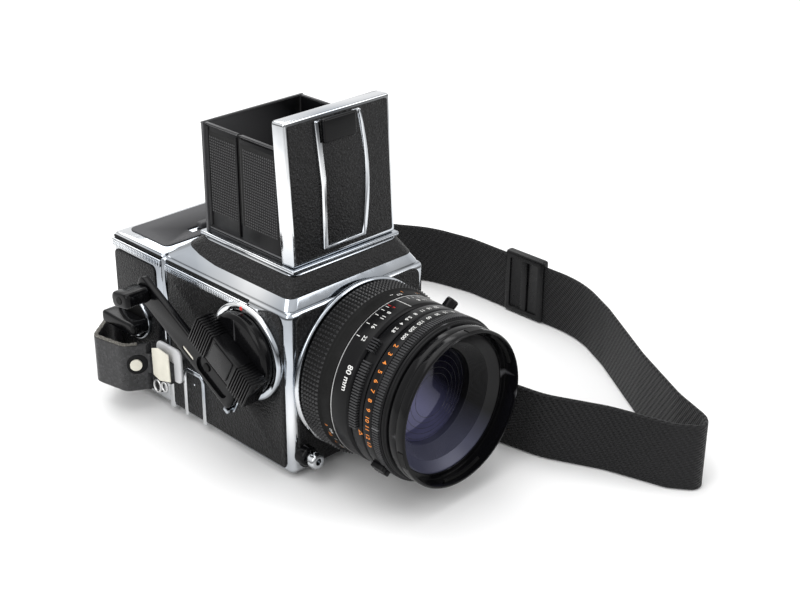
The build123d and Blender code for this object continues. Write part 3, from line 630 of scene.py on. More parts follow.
def ring_marks(name, marks, mat):
    """Numbers and lines wrapped round the barrel. A mark is (text, y, radius, degrees, size)."""
    bm = bmesh.new()
    for text, y, radius, degrees, size in marks:
        if text == "|":
            points = [Vector((a * LINE_WIDTH / 2 * MM, b * size / 2 * MM, 0)) for a, b in SQUARE]
            faces = [(0, 1, 2, 3)]
        else:
            points, faces = text_shape(text, size)
        made = []
        for co in points:
            t = math.radians(degrees) - co.x / ((radius + MARK_LIFT) * MM)
            made.append(bm.verts.new(lens_point(y - co.y / MM, radius + MARK_LIFT, t)))
        for face in faces:
            bm.faces.new([made[i] for i in face])
    return painted(name, bm, mat)


def painted(name, bm, mat):
    """Flat paint on the barrel, with every face turned away from the lens axis."""
    mesh = plain_mesh(name, bm)
    for poly in mesh.polygons:
        outward = Vector((poly.center.x, 0, poly.center.z - LENS_Z * MM))
        if poly.normal.dot(outward) < 0:
            poly.flip()
    return add_object(name, mesh, mat)


class Repeat:
    """Geometry nodes that set copies of one small mesh at places worked out from the copy's number."""

    def __init__(self, name, sockets):
        self.tree = bpy.data.node_groups.new(name, "GeometryNodeTree")
        self.nodes, self.links = self.tree.nodes, self.tree.links
        face = self.tree.interface
        face.new_socket("Geometry", in_out="INPUT", socket_type="NodeSocketGeometry")
        self.names = {}
        for label, kind in (*sockets, ("Finish", "NodeSocketMaterial")):
            self.names[label] = face.new_socket(label, in_out="INPUT", socket_type=kind).identifier
        face.new_socket("Geometry", in_out="OUTPUT", socket_type="NodeSocketGeometry")
        self.source = self.nodes.new("NodeGroupInput")
        count = self.math("MULTIPLY", self.given("Columns"), self.given("Rows"))
        self.line = self.nodes.new("GeometryNodeMeshLine")
        self.links.new(count, self.line.inputs["Count"])
        index = self.nodes.new("GeometryNodeInputIndex").outputs[0]
        self.row = self.math("FLOOR", self.math("DIVIDE", index, self.given("Columns")))
        self.column = self.math("SUBTRACT", index, self.math("MULTIPLY", self.row, self.given("Columns")))

    def given(self, label):
        return self.source.outputs[label]

    def fill(self, made, values):
        for slot, value in enumerate(values):
            if isinstance(value, (int, float)):
                made.inputs[slot].default_value = value
            else:
                self.links.new(value, made.inputs[slot])

    def math(self, operation, *values):
        made = self.nodes.new("ShaderNodeMath")
        made.operation = operation
        self.fill(made, values)
        return made.outputs[0]

    def along(self, start, step, number):
        """The place that is a number of steps on from a start, as vectors."""
        made = self.nodes.new("ShaderNodeVectorMath")
        made.operation = "MULTIPLY_ADD"
        self.fill(made, (step, number, start))
        return made.outputs[0]

    def spot(self, x, y, z):
        made = self.nodes.new("ShaderNodeCombineXYZ")
        self.fill(made, (x, y, z))
        return made.outputs[0]

    def finish(self, place, turn=None):
        """Sets the copies, makes them real and gives them their finish."""
        put = self.nodes.new("GeometryNodeSetPosition")
        self.links.new(self.line.outputs[0], put.inputs["Geometry"])
        self.links.new(place, put.inputs["Position"])
        copies = self.nodes.new("GeometryNodeInstanceOnPoints")
        self.links.new(put.outputs[0], copies.inputs["Points"])
        self.links.new(self.given("Geometry"), copies.inputs["Instance"])
        if turn is not None:
            self.links.new(turn, copies.inputs["Rotation"])
        real = self.nodes.new("GeometryNodeRealizeInstances")
        self.links.new(copies.outputs[0], real.inputs[0])
        paint = self.nodes.new("GeometryNodeSetMaterial")
        self.links.new(real.outputs[0], paint.inputs["Geometry"])
        self.links.new(self.given("Finish"), paint.inputs["Material"])
        result = self.nodes.new("NodeGroupOutput")
        self.links.new(paint.outputs[0], result.inputs[0])
        return self


def ring_tree():
    """Copies round the lens axis, from a first angle on, in rows along the axis."""
    made = Repeat("ring_of_copies", (("Columns", "NodeSocketInt"), ("Rows", "NodeSocketInt"),
                                     ("Radius", "NodeSocketFloat"), ("Start", "NodeSocketFloat"),
                                     ("Pitch", "NodeSocketFloat"), ("First Angle", "NodeSocketFloat"),
                                     ("Angle Step", "NodeSocketFloat")))
    turn = made.math("ADD", made.given("First Angle"), made.math("MULTIPLY", made.column, made.given("Angle Step")))
    x = made.math("MULTIPLY", made.math("SINE", turn), made.given("Radius"))
    y = made.math("SUBTRACT", made.given("Start"), made.math("MULTIPLY", made.row, made.given("Pitch")))
    z = made.math("ADD", made.math("MULTIPLY", made.math("COSINE", turn), made.given("Radius")), LENS_Z * MM)
    return made.finish(made.spot(x, y, z), made.spot(0.0, turn, 0.0))


def grid_tree():
    """Copies in straight rows and columns from a corner."""
    made = Repeat("grid_of_copies", (("Columns", "NodeSocketInt"), ("Rows", "NodeSocketInt"),
                                     ("Corner", "NodeSocketVector"), ("Column Step", "NodeSocketVector"),
                                     ("Row Step", "NodeSocketVector")))
    first = made.along(made.given("Corner"), made.given("Column Step"), made.column)
    return made.finish(made.along(first, made.given("Row Step"), made.row))


TREES = {}


def repeat(name, kind, small, mat, **inputs):
    """Repeats a small mesh by a tree of its kind, and returns the copies as one plain piece."""
    if kind not in TREES:
        TREES[kind] = kind()
    made = TREES[kind]
    modifier = small.modifiers.new("copies", "NODES")
    modifier.node_group = made.tree
    for label, value in inputs.items():
        modifier[made.names[label.replace("_", " ")]] = value
    modifier[made.names["Finish"]] = MATS[mat]
    apply_modifiers(small)
    small.name = small.data.name = name
    return small


def knurl_stud(height):
    """A small blunt pyramid that stands on the focus ring, pointing along +Z."""
    width, depth = KNURL_SIZE
    places = [[Vector((a * width / 2 * size, b * depth / 2 * size, z)) * MM for a, b in SQUARE]
              for size, z in ((1.0, -0.3), (0.25, height))]
    return loft("stud", places, "rubber", STUD_ANGLE)


def slope_plane(along, across, x):
    """The crank's own plane: along its slope, across it, and out from the camera's side."""
    slope = math.radians(CRANK_SLOPE)
    u = Vector((0, math.cos(slope), math.sin(slope)))
    v = Vector((0, math.sin(slope), -math.cos(slope)))
    origin = Vector((-x * MM, CRANK_Y * MM, CRANK_Z * MM)) + u * (along * MM) + v * (across * MM)
    return origin, u, v, Vector((-1, 0, 0))


def lid_plane():
    """The hood lid's outer face, which leans back a little."""
    lean = math.radians(LID_LEAN)
    v = Vector((0, math.sin(lean), math.cos(lean)))
    out = Vector((0, -math.cos(lean), math.sin(lean)))
    return Vector((0, LID_FRONT * MM, LID_LOW * MM)), Vector((1, 0, 0)), v, out


def side_plane(x, sign=-1):
    """A plane across X, looking outwards."""
    return Vector((x * MM, 0, 0)), Vector((0, 1, 0)), Vector((0, 0, 1)), Vector((sign, 0, 0))


def front_plane(y=BODY_FRONT):
    """A plane across Y, looking forwards."""
    return Vector((0, y * MM, 0)), Vector((1, 0, 0)), Vector((0, 0, 1)), Vector((0, -1, 0))


# Body


def build_body():
    """The metal case, its three leather panels, the ledges, the seam and the small marks on its side."""
    case = rounded_box("body_case", (-BODY_HALF, BODY_HALF), (BODY_FRONT, BODY_REAR), (BODY_LOW, SHOULDER_Z),
                       3.0, "chrome", 5)
    well = rounded_box("well", (-35, 35), (BODY_FRONT + 5, BODY_REAR - 5), (6.5, SHOULDER_Z + 5), 0, "chrome")
    throat = lathe("throat", [(-30, 0), (-30, 31.2), (-50, 31.2), (-50, 0)], lens_point, "chrome", 64)
    gate = rounded_box("gate", (-28, 28), (30, 50), (17, 73), 0, "chrome")
    carve(case, well, throat, gate)
    finish_slot(case, BODY, "chrome_trim", "body_shell")
    front = prism("front_leather", rounded_outline(72.6, 74.6, 4.6, middle=(0, 40.9)), front_plane(),
                  SKIN_LOW, SKIN_HIGH, 0.45, "leather", 3)
    finish_slot(front, BODY, "black_leather", "front_cover")
    crank_side = [(-38.6, 4.4), (-39.4, 6.2), (-39.4, 73.0), (-38.2, 76.0), (-36.0, 77.6), (-31.5, 77.6),
                  (-25.5, 76.0), (-19.0, 73.4), (38.0, 73.4), (39.0, 72.4), (39.0, 4.4)]
    side = prism("crank_side_leather", list(reversed(crank_side)), side_plane(-BODY_HALF, -1), SKIN_LOW, SKIN_HIGH,
                 0.4, "leather", 2)
    place = side_point(CRANK_Y, CRANK_Z)
    carve(side, lathe("hole", [(-35, 0), (-35, 19.5), (-45, 19.5), (-45, 0)], place, "leather", 96))
    finish_slot(side, BODY, "black_leather", "crank_side_cover")
    plain = prism("plain_side_leather", rounded_outline(78.4, 68.4, 3.0, middle=(-0.2, 38.6)),
                  side_plane(BODY_HALF, 1), SKIN_LOW, SKIN_HIGH, 0.4, "leather", 2)
    finish_slot(plain, BODY, "black_leather", "plain_side_cover")
    build_ledges()
    seam = rounded_box("body_seam_band", (-40.9, 40.9), (39.6, 42.95), (1.8, 78.2), 0.8, "chrome")
    carve(seam, rounded_box("core", (-39, 39), (30, 50), (4, 76), 0, "chrome"))
    finish_slot(seam, BODY, "chrome_trim")
    rib = prism("side_rib_arch", arch_outline(15.0, 30.6, 3.0, 28.6, 2.2), side_plane(-BODY_HALF, -1), 0.2, 1.7, 0.5,
                "chrome", 3)
    finish_slot(rib, BODY, "chrome_trim")
    tack = lathe("side_rivet", chamfered([(-40.4, 0), (-40.4, 0.7), (-41.2, 0.5), (-41.2, 0)], 0.1),
                 side_point(22.8, 21.3), "chrome", 20)
    finish_slot(tack, BODY, "chrome_trim")
    dot = lathe("red_index_dot", [(-43.0, 0), (-43.0, 0.95), (-43.5, 0.8), (-43.6, 0)],
                side_point(CRANK_Y + 0.6, CRANK_Z + 20.6), "red", 24)
    finish_slot(dot, BODY, "chrome_trim")


def build_ledges():
    """The ribbed chrome step along the crank side, carried on by the magazine, with a dark groove above."""
    for name, start, end, x in (("body", -18.0, 39.8, -BODY_HALF), ("magazine", 43.6, 80.6, -MAGAZINE_HALF)):
        middle, length = (start + end) / 2, end - start
        step = prism(f"{name}_ledge", rounded_outline(length, 3.6, 0.8, middle=(middle, 74.8)), side_plane(x, -1),
                     -0.4, 1.5, 0.5, "chrome", 3)
        finish_slot(step, BODY, "chrome_trim")
        line = prism(f"{name}_groove", rounded_outline(length - 1.0, 1.3, 0.3, middle=(middle, 77.4)),
                     side_plane(x, -1), -0.3, 0.25, 0.1, "matt", 1)
        finish_slot(line, BODY, "black_metal")
        count = int(length / 1.15) - 2
        tooth = rounded_box("tooth", (x - 1.95, x - 1.0), (-0.3, 0.3), (73.6, 76.0), 0.14, "chrome", 1)
        teeth = repeat(f"{name}_ledge_ribs", grid_tree, tooth, "chrome", Columns=count, Rows=1,
                       Corner=(0.0, (start + 1.6) * MM, 0.0), Row_Step=(0.0, 0.0, 0.0),
                       Column_Step=(0.0, (length - 3.2) / (count - 1) * MM, 0.0))
        finish_slot(teeth, BODY, "chrome_trim")


def arch_outline(front, rear, low, top, thick):
    """The upside-down U rib low on the crank side: round the outside, then back round the inside."""
    def bow(inset):
        r = 4.0 - inset
        points = [(front + inset, low)]
        for middle, first in ((front + inset + r, 180), (rear - inset - r, 90)):
            for k in range(7):
                t = math.radians(first - 15 * k)
                points.append((middle + r * math.cos(t), top - inset - r + r * math.sin(t)))
        return points + [(rear - inset, low)]
    return bow(0.0) + list(reversed(bow(thick)))


def frustum(name, low, high, foot, top, mat, bevel, grow=0.0, corner=0.0):
    """A hipped shoulder between two heights of the cowl's slopes, with round corners."""
    def ring(z):
        k = (z - SHOULDER_Z) / (COWL_TOP - SHOULDER_Z)
        half = foot[0] + (top[0] - foot[0]) * k + grow
        front = foot[1] + (top[1] - foot[1]) * k - grow
        rear = foot[2] + (top[2] - foot[2]) * k + grow
        return [(-half, front, z), (half, front, z), (half, rear, z), (-half, rear, z)]
    bm = bmesh.new()
    lower = [bm.verts.new(Vector(p) * MM) for p in ring(low)]
    upper = [bm.verts.new(Vector(p) * MM) for p in ring(high)]
    bm.faces.new(reversed(lower))
    bm.faces.new(upper)
    bridge(bm, lower, upper)
    bm.edges.ensure_lookup_table()
    if corner > 0:
        posts = [e for e in bm.edges if abs(e.verts[0].co.z - e.verts[1].co.z) > 1e-6]
        bmesh.ops.bevel(bm, geom=posts, offset=corner * MM, segments=6, profile=0.5, affect="EDGES")
    if bevel > 0:
        rims = [e for e in bm.edges if abs(e.verts[0].co.z - e.verts[1].co.z) < 1e-7
                and len(e.link_faces) == 2 and e.calc_face_angle(0) > math.radians(20)]
        bmesh.ops.bevel(bm, geom=rims, offset=bevel * MM, segments=3, profile=0.5, affect="EDGES",
                        clamp_overlap=True)
    return from_bmesh(name, bm, mat)


# Half width, front and rear of the cowl's slopes, and the opening through the cowl and hood
WELL_XS, WELL_YS = (-25.5, 25.5), (-24, 20.5)
COWL_FOOT = (39.0, -42.2, 43.0)
COWL_HEAD = (30.5, -35.6, 24.2)


def build_cowl():
    """The sloped chrome cowl under the hood, with a leather band that ends in a curve at the sides."""
    cowl = frustum("cowl_chrome", SHOULDER_Z - 0.6, COWL_TOP, COWL_FOOT, COWL_HEAD, "chrome", 1.3, corner=4.5)
    well = rounded_box("well", WELL_XS, WELL_YS, (70, 99), 0, "chrome")
    seat = rounded_box("seat", (-28.7, 28.7), (-30.7, 26.7), (70, 85.2), 0, "chrome")
    mirror_bay = rounded_box("mirror_bay", (-29.2, 29.2), (-34.6, 37.0), (70, 80.8), 0, "chrome")
    carve(cowl, well, seat, mirror_bay)
    finish_slot(cowl, BODY, "chrome_trim", "cowl")
    band = frustum("cowl_leather_band", 83.9, 91.5, COWL_FOOT, COWL_HEAD, "leather", 0.35, grow=0.45, corner=4.5)
    core = frustum("core", 80.4, 91.9, COWL_FOOT, COWL_HEAD, "leather", 0.0, grow=-0.6, corner=4.2)
    carve(band, core)
    curve = [(2.0, 83.7), (9.5, 84.1), (16.0, 84.7), (21.0, 85.3), (31.0, 87.4), (44.0, 90.6)]
    plane = (Vector((-0.06, 0, 0)), Vector((0, 1, 0)), Vector((0, 0, 1)), Vector((1, 0, 0)))
    lap = 0.06
    for (y0, z0), (y1, z1) in zip(curve, curve[1:]):
        y0, y1 = y0 - lap, y1 + lap
        carve(band, prism("wedge", [(y0, 78.0), (y1, 78.0), (y1, z1), (y0, z0)], plane, 0, 120, 0, "leather"))
    shade(band)
    finish_slot(band, BODY, "black_leather", "cowl_cover")


# Hood


def build_hood():
    """The open hood: its foot, the lid with its raised panel and tab, both leaves and the rear panel."""
    base = rounded_box("hood_base_plate", (-31, 31), (-36.2, 25.8), (92.4, 94.2), 0.6, "chrome")
    carve(base, rounded_box("well", WELL_XS, WELL_YS, (90, 99), 0, "chrome"))
    finish_slot(base, BODY, "chrome_trim")
    lining = rounded_box("hood_well_lining", (-26.1, 26.1), (-24.6, 21.1), (85.4, 94.35), 0.1, "matt")
    carve(lining, rounded_box("opening", (-25.3, 25.3), (-23.8, 20.3), (80, 99), 0, "matt"))
    finish_slot(lining, BODY, "black_metal")
    plane = lid_plane()
    height = LID_HIGH - LID_LOW
    tray = prism("lid_tray", rounded_outline(2 * LID_HALF, height, 1.6, middle=(0, height / 2)), plane,
                 -7.6, 0.0, 0.9, "chrome", 3)
    hollow = prism("hollow", rounded_outline(2 * LID_HALF - 2.8, height - 2.8, 1.0, middle=(0, height / 2)), plane,
                   -12.0, -1.4, 0, "chrome")
    carve(tray, hollow)
    shade(tray)
    finish_slot(tray, BODY, "chrome_trim", "hood_lid")
    skin = prism("lid_leather_face", rounded_outline(2 * LID_HALF - 3.6, height - 3.6, 1.0, middle=(0, height / 2)),
                 plane, -0.2, 0.5, 0.25, "leather")
    finish_slot(skin, BODY, "black_leather", "lid_leather")
    lining = prism("lid_black_lining", rounded_outline(2 * LID_HALF - 3.2, height - 3.2, 1.0, middle=(0, height / 2)),
                   plane, -1.7, -1.3, 0.1, "matt")
    finish_slot(lining, BODY, "black_metal")
    low, high = 4.2, 60.4
    shape = lid_panel_outline(low, high, 0.0)
    bright = prism("lid_panel_edge", shape, plane, 0.2, 2.0, 0.7, "chrome", 3)
    carve(bright, prism("bed", lid_panel_outline(low + 1.5, high + 4.0, 2.1), plane, 1.15, 4.0, 0, "chrome"))
    finish_slot(bright, BODY, "chrome_trim", "lid_centre_panel")
    panel = prism("lid_panel_leather", lid_panel_outline(low + 1.6, high - 0.2, 2.2), plane, 0.9, 1.55, 0.25,
                  "leather")
    finish_slot(panel, BODY, "black_leather")
    tab = prism("lid_catch_tab", rounded_outline(18.4, 10.2, 1.2, middle=(-1.6, 55.4)), plane, 0.2, 3.1, 0.9,
                "gloss", 4)
    finish_slot(tab, BODY, "black_metal", "lid_tab")
    for sign, name, hinge in ((-1, "left_leaf", 96.0), (1, "right_leaf", 98.4)):
        build_leaf(sign, name, hinge)
    rear = rounded_box("rear_hood_panel", (-28.6, 28.6), (23.0, 24.2), (94.0, HOOD_TOP), 0.35, "black")
    finish_slot(rear, BODY, "black_metal", "rear_panel")
    rim = rounded_box("rear_panel_rim", (-28.7, 28.7), (22.9, 24.4), HOOD_RIM_ZS, 0.3, "black")
    finish_slot(rim, BODY, "black_metal")


def lid_panel_outline(low, high, inset):
    """The raised panel: a straight left edge, and a right edge that bows out."""
    left, right, bow = -12.6 + inset, 9.4 - inset, 5.2
    points = [(left - 0.8, low), (left + 0.2, (low + high) / 2), (left - 1.8, high)]
    count = 9
    for k in range(count + 1):
        s = k / count
        z = high + (low - high) * s
        points.append((right + bow * math.sin(math.pi * (0.12 + 0.78 * s)), z))
    return list(reversed(points))


def leaf_stud(sign, pitch):
    """One blunt stud of the leaf's grid, standing out sideways from its origin."""
    half, rise = pitch * 0.38, numbers("hood").stud_height / MM
    places = [[Vector((sign * out, a * size, b * size)) * MM for a, b in SQUARE]
              for out, size in ((-0.05, half), (rise, half * 0.7))]
    return loft("stud", places, "grid", STUD_ANGLE)


def build_leaf(sign, name, hinge):
    """A side leaf in two steps with a groove between, and a fine grid of square studs on each."""
    def plate(label, inner, outer, ys, zs, bevel, mat="black", segments=2):
        return rounded_box(label, sorted((sign * inner, sign * outer)), ys, zs, bevel, mat, segments)

    leaf = plate(f"{name}_panel", 26.4, LEAF_FACE, (-26.0, 22.4), (hinge, HOOD_TOP), 0.3)
    finish_slot(leaf, name, "black_metal", name)
    zs = (hinge + 1.0, HOOD_TOP - 1.0)
    finish_slot(plate(f"{name}_step", 27.5, LEAF_STEP_FACE, (-25.6, -1.0), zs, 0.3), name, "black_metal")
    bars = [plate("bar", 27.5, LEAF_STEP_FACE, (0.8, 1.9), zs, 0.3), plate("bar", 27.5, 28.0, (20.4, 22.2), zs, 0.25)]
    finish_slot(join(f"{name}_ribs", bars), name, "black_metal")
    # Thin matt sheets under the studs give painted shade in the lines between them.
    shade_sheets = [plate("bed", face - 0.2, face + 0.04, ys, (103.8, top), 0, "matt")
            for ys, face, top in (((-24.6, -1.8), LEAF_STEP_FACE, 140.8), ((2.2, 20.2), LEAF_FACE, 140.8),
                                  ((-1.0, 0.8), LEAF_FACE, 142.4))]
    finish_slot(join(f"{name}_grid_shade_sheets", shade_sheets), name, "black_metal")
    pitch = numbers("hood").stud_pitch / MM
    # The studs take the lighter grid finish, a painted highlight on their tops.
    grids = []
    for start, end, face in ((-24.4, -2.0, LEAF_STEP_FACE), (2.4, 20.0, LEAF_FACE)):
        corner = (sign * face * MM, (start + pitch / 2) * MM, 104.5 * MM)
        grids.append(repeat("studs", grid_tree, leaf_stud(sign, pitch), "grid", Columns=int((end - start) / pitch),
                            Rows=int(36.0 / pitch), Corner=corner, Column_Step=(0.0, pitch * MM, 0.0),
                            Row_Step=(0.0, 0.0, pitch * MM)))
    finish_slot(join(f"{name}_stud_grid", grids), name, "black_metal")
    rims = [plate("rim", 26.3, 28.0, ys, HOOD_RIM_ZS, 0.3, "black", 3) for ys in ((-26.0, -1.0), (0.8, 22.4))]
    finish_slot(join(f"{name}_rims", rims), name, "black_metal")
    rod = lathe(f"{name}_hinge_rod", chamfered([(-25.6, 0), (-25.6, 0.9), (22.2, 0.9), (22.2, 0)], 0.2),
                lambda a, r, t: Vector(((sign * 27.0 + r * math.sin(t)) * MM, a * MM, (hinge + r * math.cos(t)) * MM)),
                "black", 20)
    finish_slot(rod, name, "black_metal")


# Lens


def band_profile(back, front, radius, inner, cut=0.35):
    """A plain ring's profile with broken corners."""
    return chamfered([(back, inner), (back, radius), (front, radius), (front, inner)], cut)


def build_lens():
    """The lens from its bright rim forwards, with each ring on the body that turns or slides it."""
    rim = lathe("lens_chrome_rim", chamfered([(-36, 24), (-36, 31), (-43.8, 31), (-43.8, 38.2), (-44.4, 39.0),
                                              (-45.8, 39.0), (-46.4, 38.0), (-46.4, 24)], 0.25), lens_point, "chrome")
    finish_slot(rim, BODY, "chrome_trim", "lens_mount_ring")
    core = lathe("lens_inner_barrel", band_profile(-45.8, -81.7, 31.0, 25.0), lens_point, "matt")
    finish_slot(core, BODY, "black_metal", "lens_core")
    cell = lathe("rear_element_cell", [(-40, 14), (-40, 24), (-45.8, 24), (-45.8, 14)], lens_point, "matt")
    finish_slot(cell, BODY, "black_metal")
    build_focus_ring()
    scale = lathe("depth_scale_barrel", chamfered([(-64.6, 31), (-64.6, 36.4), (-65.0, 36.6), (-73.6, 36.6),
                                                   (-74.8, 35.4), (-74.8, 33.7), (-67.2, 33.7), (-67.2, 31)], 0.1),
                  lens_point, "black")
    finish_slot(scale, BODY, "black_metal", "depth_scale_ring")
    line = lathe("depth_scale_bright_line", chamfered([(-64.6, 36.2), (-64.6, 36.75), (-64.95, 36.75), (-64.95, 36.2)],
                                                      0.05), lens_point, "satin")
    finish_slot(line, BODY, "chrome_trim")
    nose = lathe("front_barrel_nose", chamfered([(-67.5, 31.1), (-67.5, 33.3), (-93.3, 33.3), (-93.3, 35.6),
                                                 (-94.2, 35.6), (-94.7, 35.0), (-95.2, 35.0), (-95.6, 35.6),
                                                 (-96.0, 35.4), (-96.0, 31.1)], 0.1), lens_point, "black")
    finish_slot(nose, "front_barrel", "black_metal", "front_barrel")
    build_stop_ring()
    build_speed_ring()
    build_front()
    build_marks()


def build_focus_ring():
    """The rubber sleeve, stepped down to its numbers, and the knurl round it."""
    sleeve = lathe("focus_sleeve", chamfered([(-46.9, 31.3), (-46.9, 37.3), (-47.5, 37.9), (-57.6, 37.9),
                                              (-58.3, 37.2), (-59.0, 36.9), (-63.6, 36.9), (-64.3, 36.4),
                                              (-64.3, 31.3)], 0.15), lens_point, "rubber")
    finish_slot(sleeve, "focus_ring", "rubber", "focus_ring")
    lens = numbers("lens")
    # The studs take the lighter knurl finish, a painted highlight against the darker sleeve.
    knurl = repeat("focus_knurl", ring_tree, knurl_stud(lens.knurl_height / MM), "knurl",
                   Columns=lens.knurl_count, Rows=lens.knurl_rows, Radius=GRIP_RADIUS * MM, Start=-48.5 * MM,
                   Pitch=1.72 * MM, First_Angle=0.0, Angle_Step=2 * math.pi / lens.knurl_count)
    finish_slot(knurl, "focus_ring", "rubber")


def ring_ribs(name, body, start, end, back, front, radius, height, mat="black"):
    """Fine ribs along the barrel, between two turns in degrees."""
    step = 360.0 / numbers("lens").rib_count
    half = math.radians(step) * radius * 0.29
    plane = (Vector(), Vector((1, 0, 0)), Vector((0, -1, 0)), Vector((0, 0, 1)))
    outline = [(-half, -back), (half, -back), (half, -front), (-half, -front)]
    rib = prism("rib", outline, plane, -0.3, height, 0.12, mat, 1)
    ribs = repeat(name, ring_tree, rib, mat, Columns=int((end - start) / step), Rows=1, Radius=radius * MM, Start=0.0,
                  Pitch=0.0, First_Angle=math.radians(start + step / 2), Angle_Step=math.radians(step))
    finish_slot(ribs, body, "black_metal")


def build_stop_ring():
    """The aperture ring with its two grips and its tab."""
    ring = lathe("stop_ring_barrel", chamfered([(-75.1, 33.5), (-75.1, 35.4), (-76.2, 36.0), (-76.8, 36.5),
                                                (-82.4, 36.6), (-83.0, 36.2), (-83.0, 33.5)], 0.12),
                 lens_point, "black")
    finish_slot(ring, "stop_ring", "black_metal", "stop_ring")
    ring_ribs("stop_ring_grip", "stop_ring", -96.0, -50.0, -76.9, -81.0, 36.5, 1.7, "black")
    ring_ribs("stop_ring_grip_far", "stop_ring", 84.0, 130.0, -76.9, -81.0, 36.5, 1.7, "black")
    ring_ribs("stop_ring_tab", "stop_ring", -45.0, -35.0, -75.6, -79.4, 36.0, 2.7, "gloss")


def build_speed_ring():
    """The shutter speed ring with fine ribs and a finger tab."""
    ring = lathe("speed_ring_barrel", chamfered([(-83.3, 33.5), (-83.3, 36.1), (-83.8, 36.6), (-88.4, 36.6),
                                                 (-88.7, 36.0), (-92.6, 36.0), (-93.0, 35.6), (-93.0, 33.5)], 0.1),
                 lens_point, "black")
    finish_slot(ring, "speed_ring", "black_metal", "speed_ring")
    ring_ribs("speed_ring_ribs", "speed_ring", -180.0, 180.0, -88.9, -92.5, 36.0, 0.75, "black")
    parts = []
    for shift in (-1.6, 1.6):
        t = math.radians(-128.0) + shift / 37.0
        radial = Vector((math.sin(t), 0, math.cos(t)))
        plane = (lens_point(-87.0, 36.2, t), Vector((math.cos(t), 0, -math.sin(t))), Vector((0, -1, 0)), radial)
        parts.append(prism("finger", rounded_outline(3.0, 7.0, 0.8, 3), plane, -0.2, 2.8, 0.5, "black", 2))
    finish_slot(join("speed_ring_finger_tab", parts), "speed_ring", "black_metal")


BAFFLES = 16
GLASS_RADIUS = 21.5
GLASS_RIM = -85.6
GLASS_RISE = 2.2


def glass_face(r):
    """The place of the front glass's face on the lens axis, at a radius."""
    return GLASS_RIM - GLASS_RISE * (1 - (r / GLASS_RADIUS) ** 2)


def build_front():
    """The filter ring, the stepped bezel inside it, the front glass and the little flash socket."""
    ring = lathe("filter_ring_barrel", chamfered([(-96.3, 31.2), (-96.3, 34.2), (-96.9, 34.9), (-100.4, 34.9),
                                                  (-100.7, 34.6), (-101.0, 34.9), (-104.6, 34.9), (-105.2, 34.4),
                                                  (-105.2, 33.7), (-104.0, 33.5), (-98.4, 33.5), (-98.2, 31.2)], 0.06),
                 lens_point, "gloss")
    finish_slot(ring, "filter_ring", "black_metal", "filter_ring")
    lugs = arc_blocks("filter_bayonet_lugs", 35, 38, 32.4, 33.7, -101.6, -102.6)
    finish_slot(lugs, "filter_ring", "black_metal")
    pads = arc_blocks("filter_ring_index_pads", 5, 14, 34.8, 35.2, -101.4, -104.6)
    finish_slot(pads, "filter_ring", "black_metal")
    profile = [(-82.0, 31.0), (-97.9, 31.0), (-97.9, 30.5), (-97.4, 30.1), (-95.2, 26.6), (-94.9, 26.2)]
    for k in range(BAFFLES):
        y, r = -94.9 + k * 0.40, 26.2 - k * 0.27
        profile += [(y + 0.30, r - 0.02), (y + 0.40, r - 0.27)]
    profile += [(-87.9, 21.6), (-82.0, 21.6)]
    bezel = lathe("front_bezel_baffles", profile, lens_point, "baffle")
    finish_slot(bezel, "front_barrel", "black_metal", "front_bezel")
    steps = 12
    radii = [GLASS_RADIUS * (1 - k / steps) for k in range(steps + 1)]
    dome = [(-83.4, 0.0), (-83.4, GLASS_RADIUS)] + [(glass_face(r), r) for r in radii]
    glass = lathe("front_element", dome, lens_point, "deep")
    finish_slot(glass, "front_barrel", "glass", "front_glass")
    # Thin dark rings laid on the front glass are painted reflections of the inner elements.
    parts = []
    for k in range(5):
        r = 20.4 - k * 2.6
        back = glass_face(r) + 0.1
        edge = [(back, r), (back - 0.16, r), (back - 0.16, r - 0.16), (back, r - 0.16)]
        parts.append(lathe("mark", edge, lens_point, "gloss", 96))
    rings = join("element_reflection_rings", parts)
    finish_slot(rings, "front_barrel", "glass")
    socket = lathe("flash_socket", chamfered([(0.0, 0), (0.0, 2.9), (4.4, 2.9), (5.2, 2.4), (5.2, 1.5), (3.0, 1.4),
                                              (3.0, 0)], 0.12), socket_point, "gloss", 40)
    finish_slot(socket, BODY, "black_metal")


def socket_point(a, r, t):
    """About the little socket's own axis, which points out of the fixed barrel."""
    turn = math.radians(44)
    axis = Vector((math.sin(turn), -0.12, math.cos(turn))).normalized()
    start = lens_point(-71.2, 36.0, turn)
    side = axis.cross(Vector((0, 1, 0))).normalized()
    up = axis.cross(side)
    return start + axis * (a * MM) + side * (r * math.cos(t) * MM) + up * (r * math.sin(t) * MM)


def arc_blocks(name, first, span, inner, outer, back, front):
    """Three equal blocks bent round the lens axis, each over a span of degrees."""
    section = ((back, inner), (back, outer), (front, outer), (front, inner))
    steps = 12
    parts = []
    for start in (first, first + 120, first + 240):
        turns = [math.radians(start + span * k / steps) for k in range(steps + 1)]
        parts.append(loft("block", [[lens_point(a, r, t) for a, r in section] for t in turns], "matt"))
    return join(name, parts)


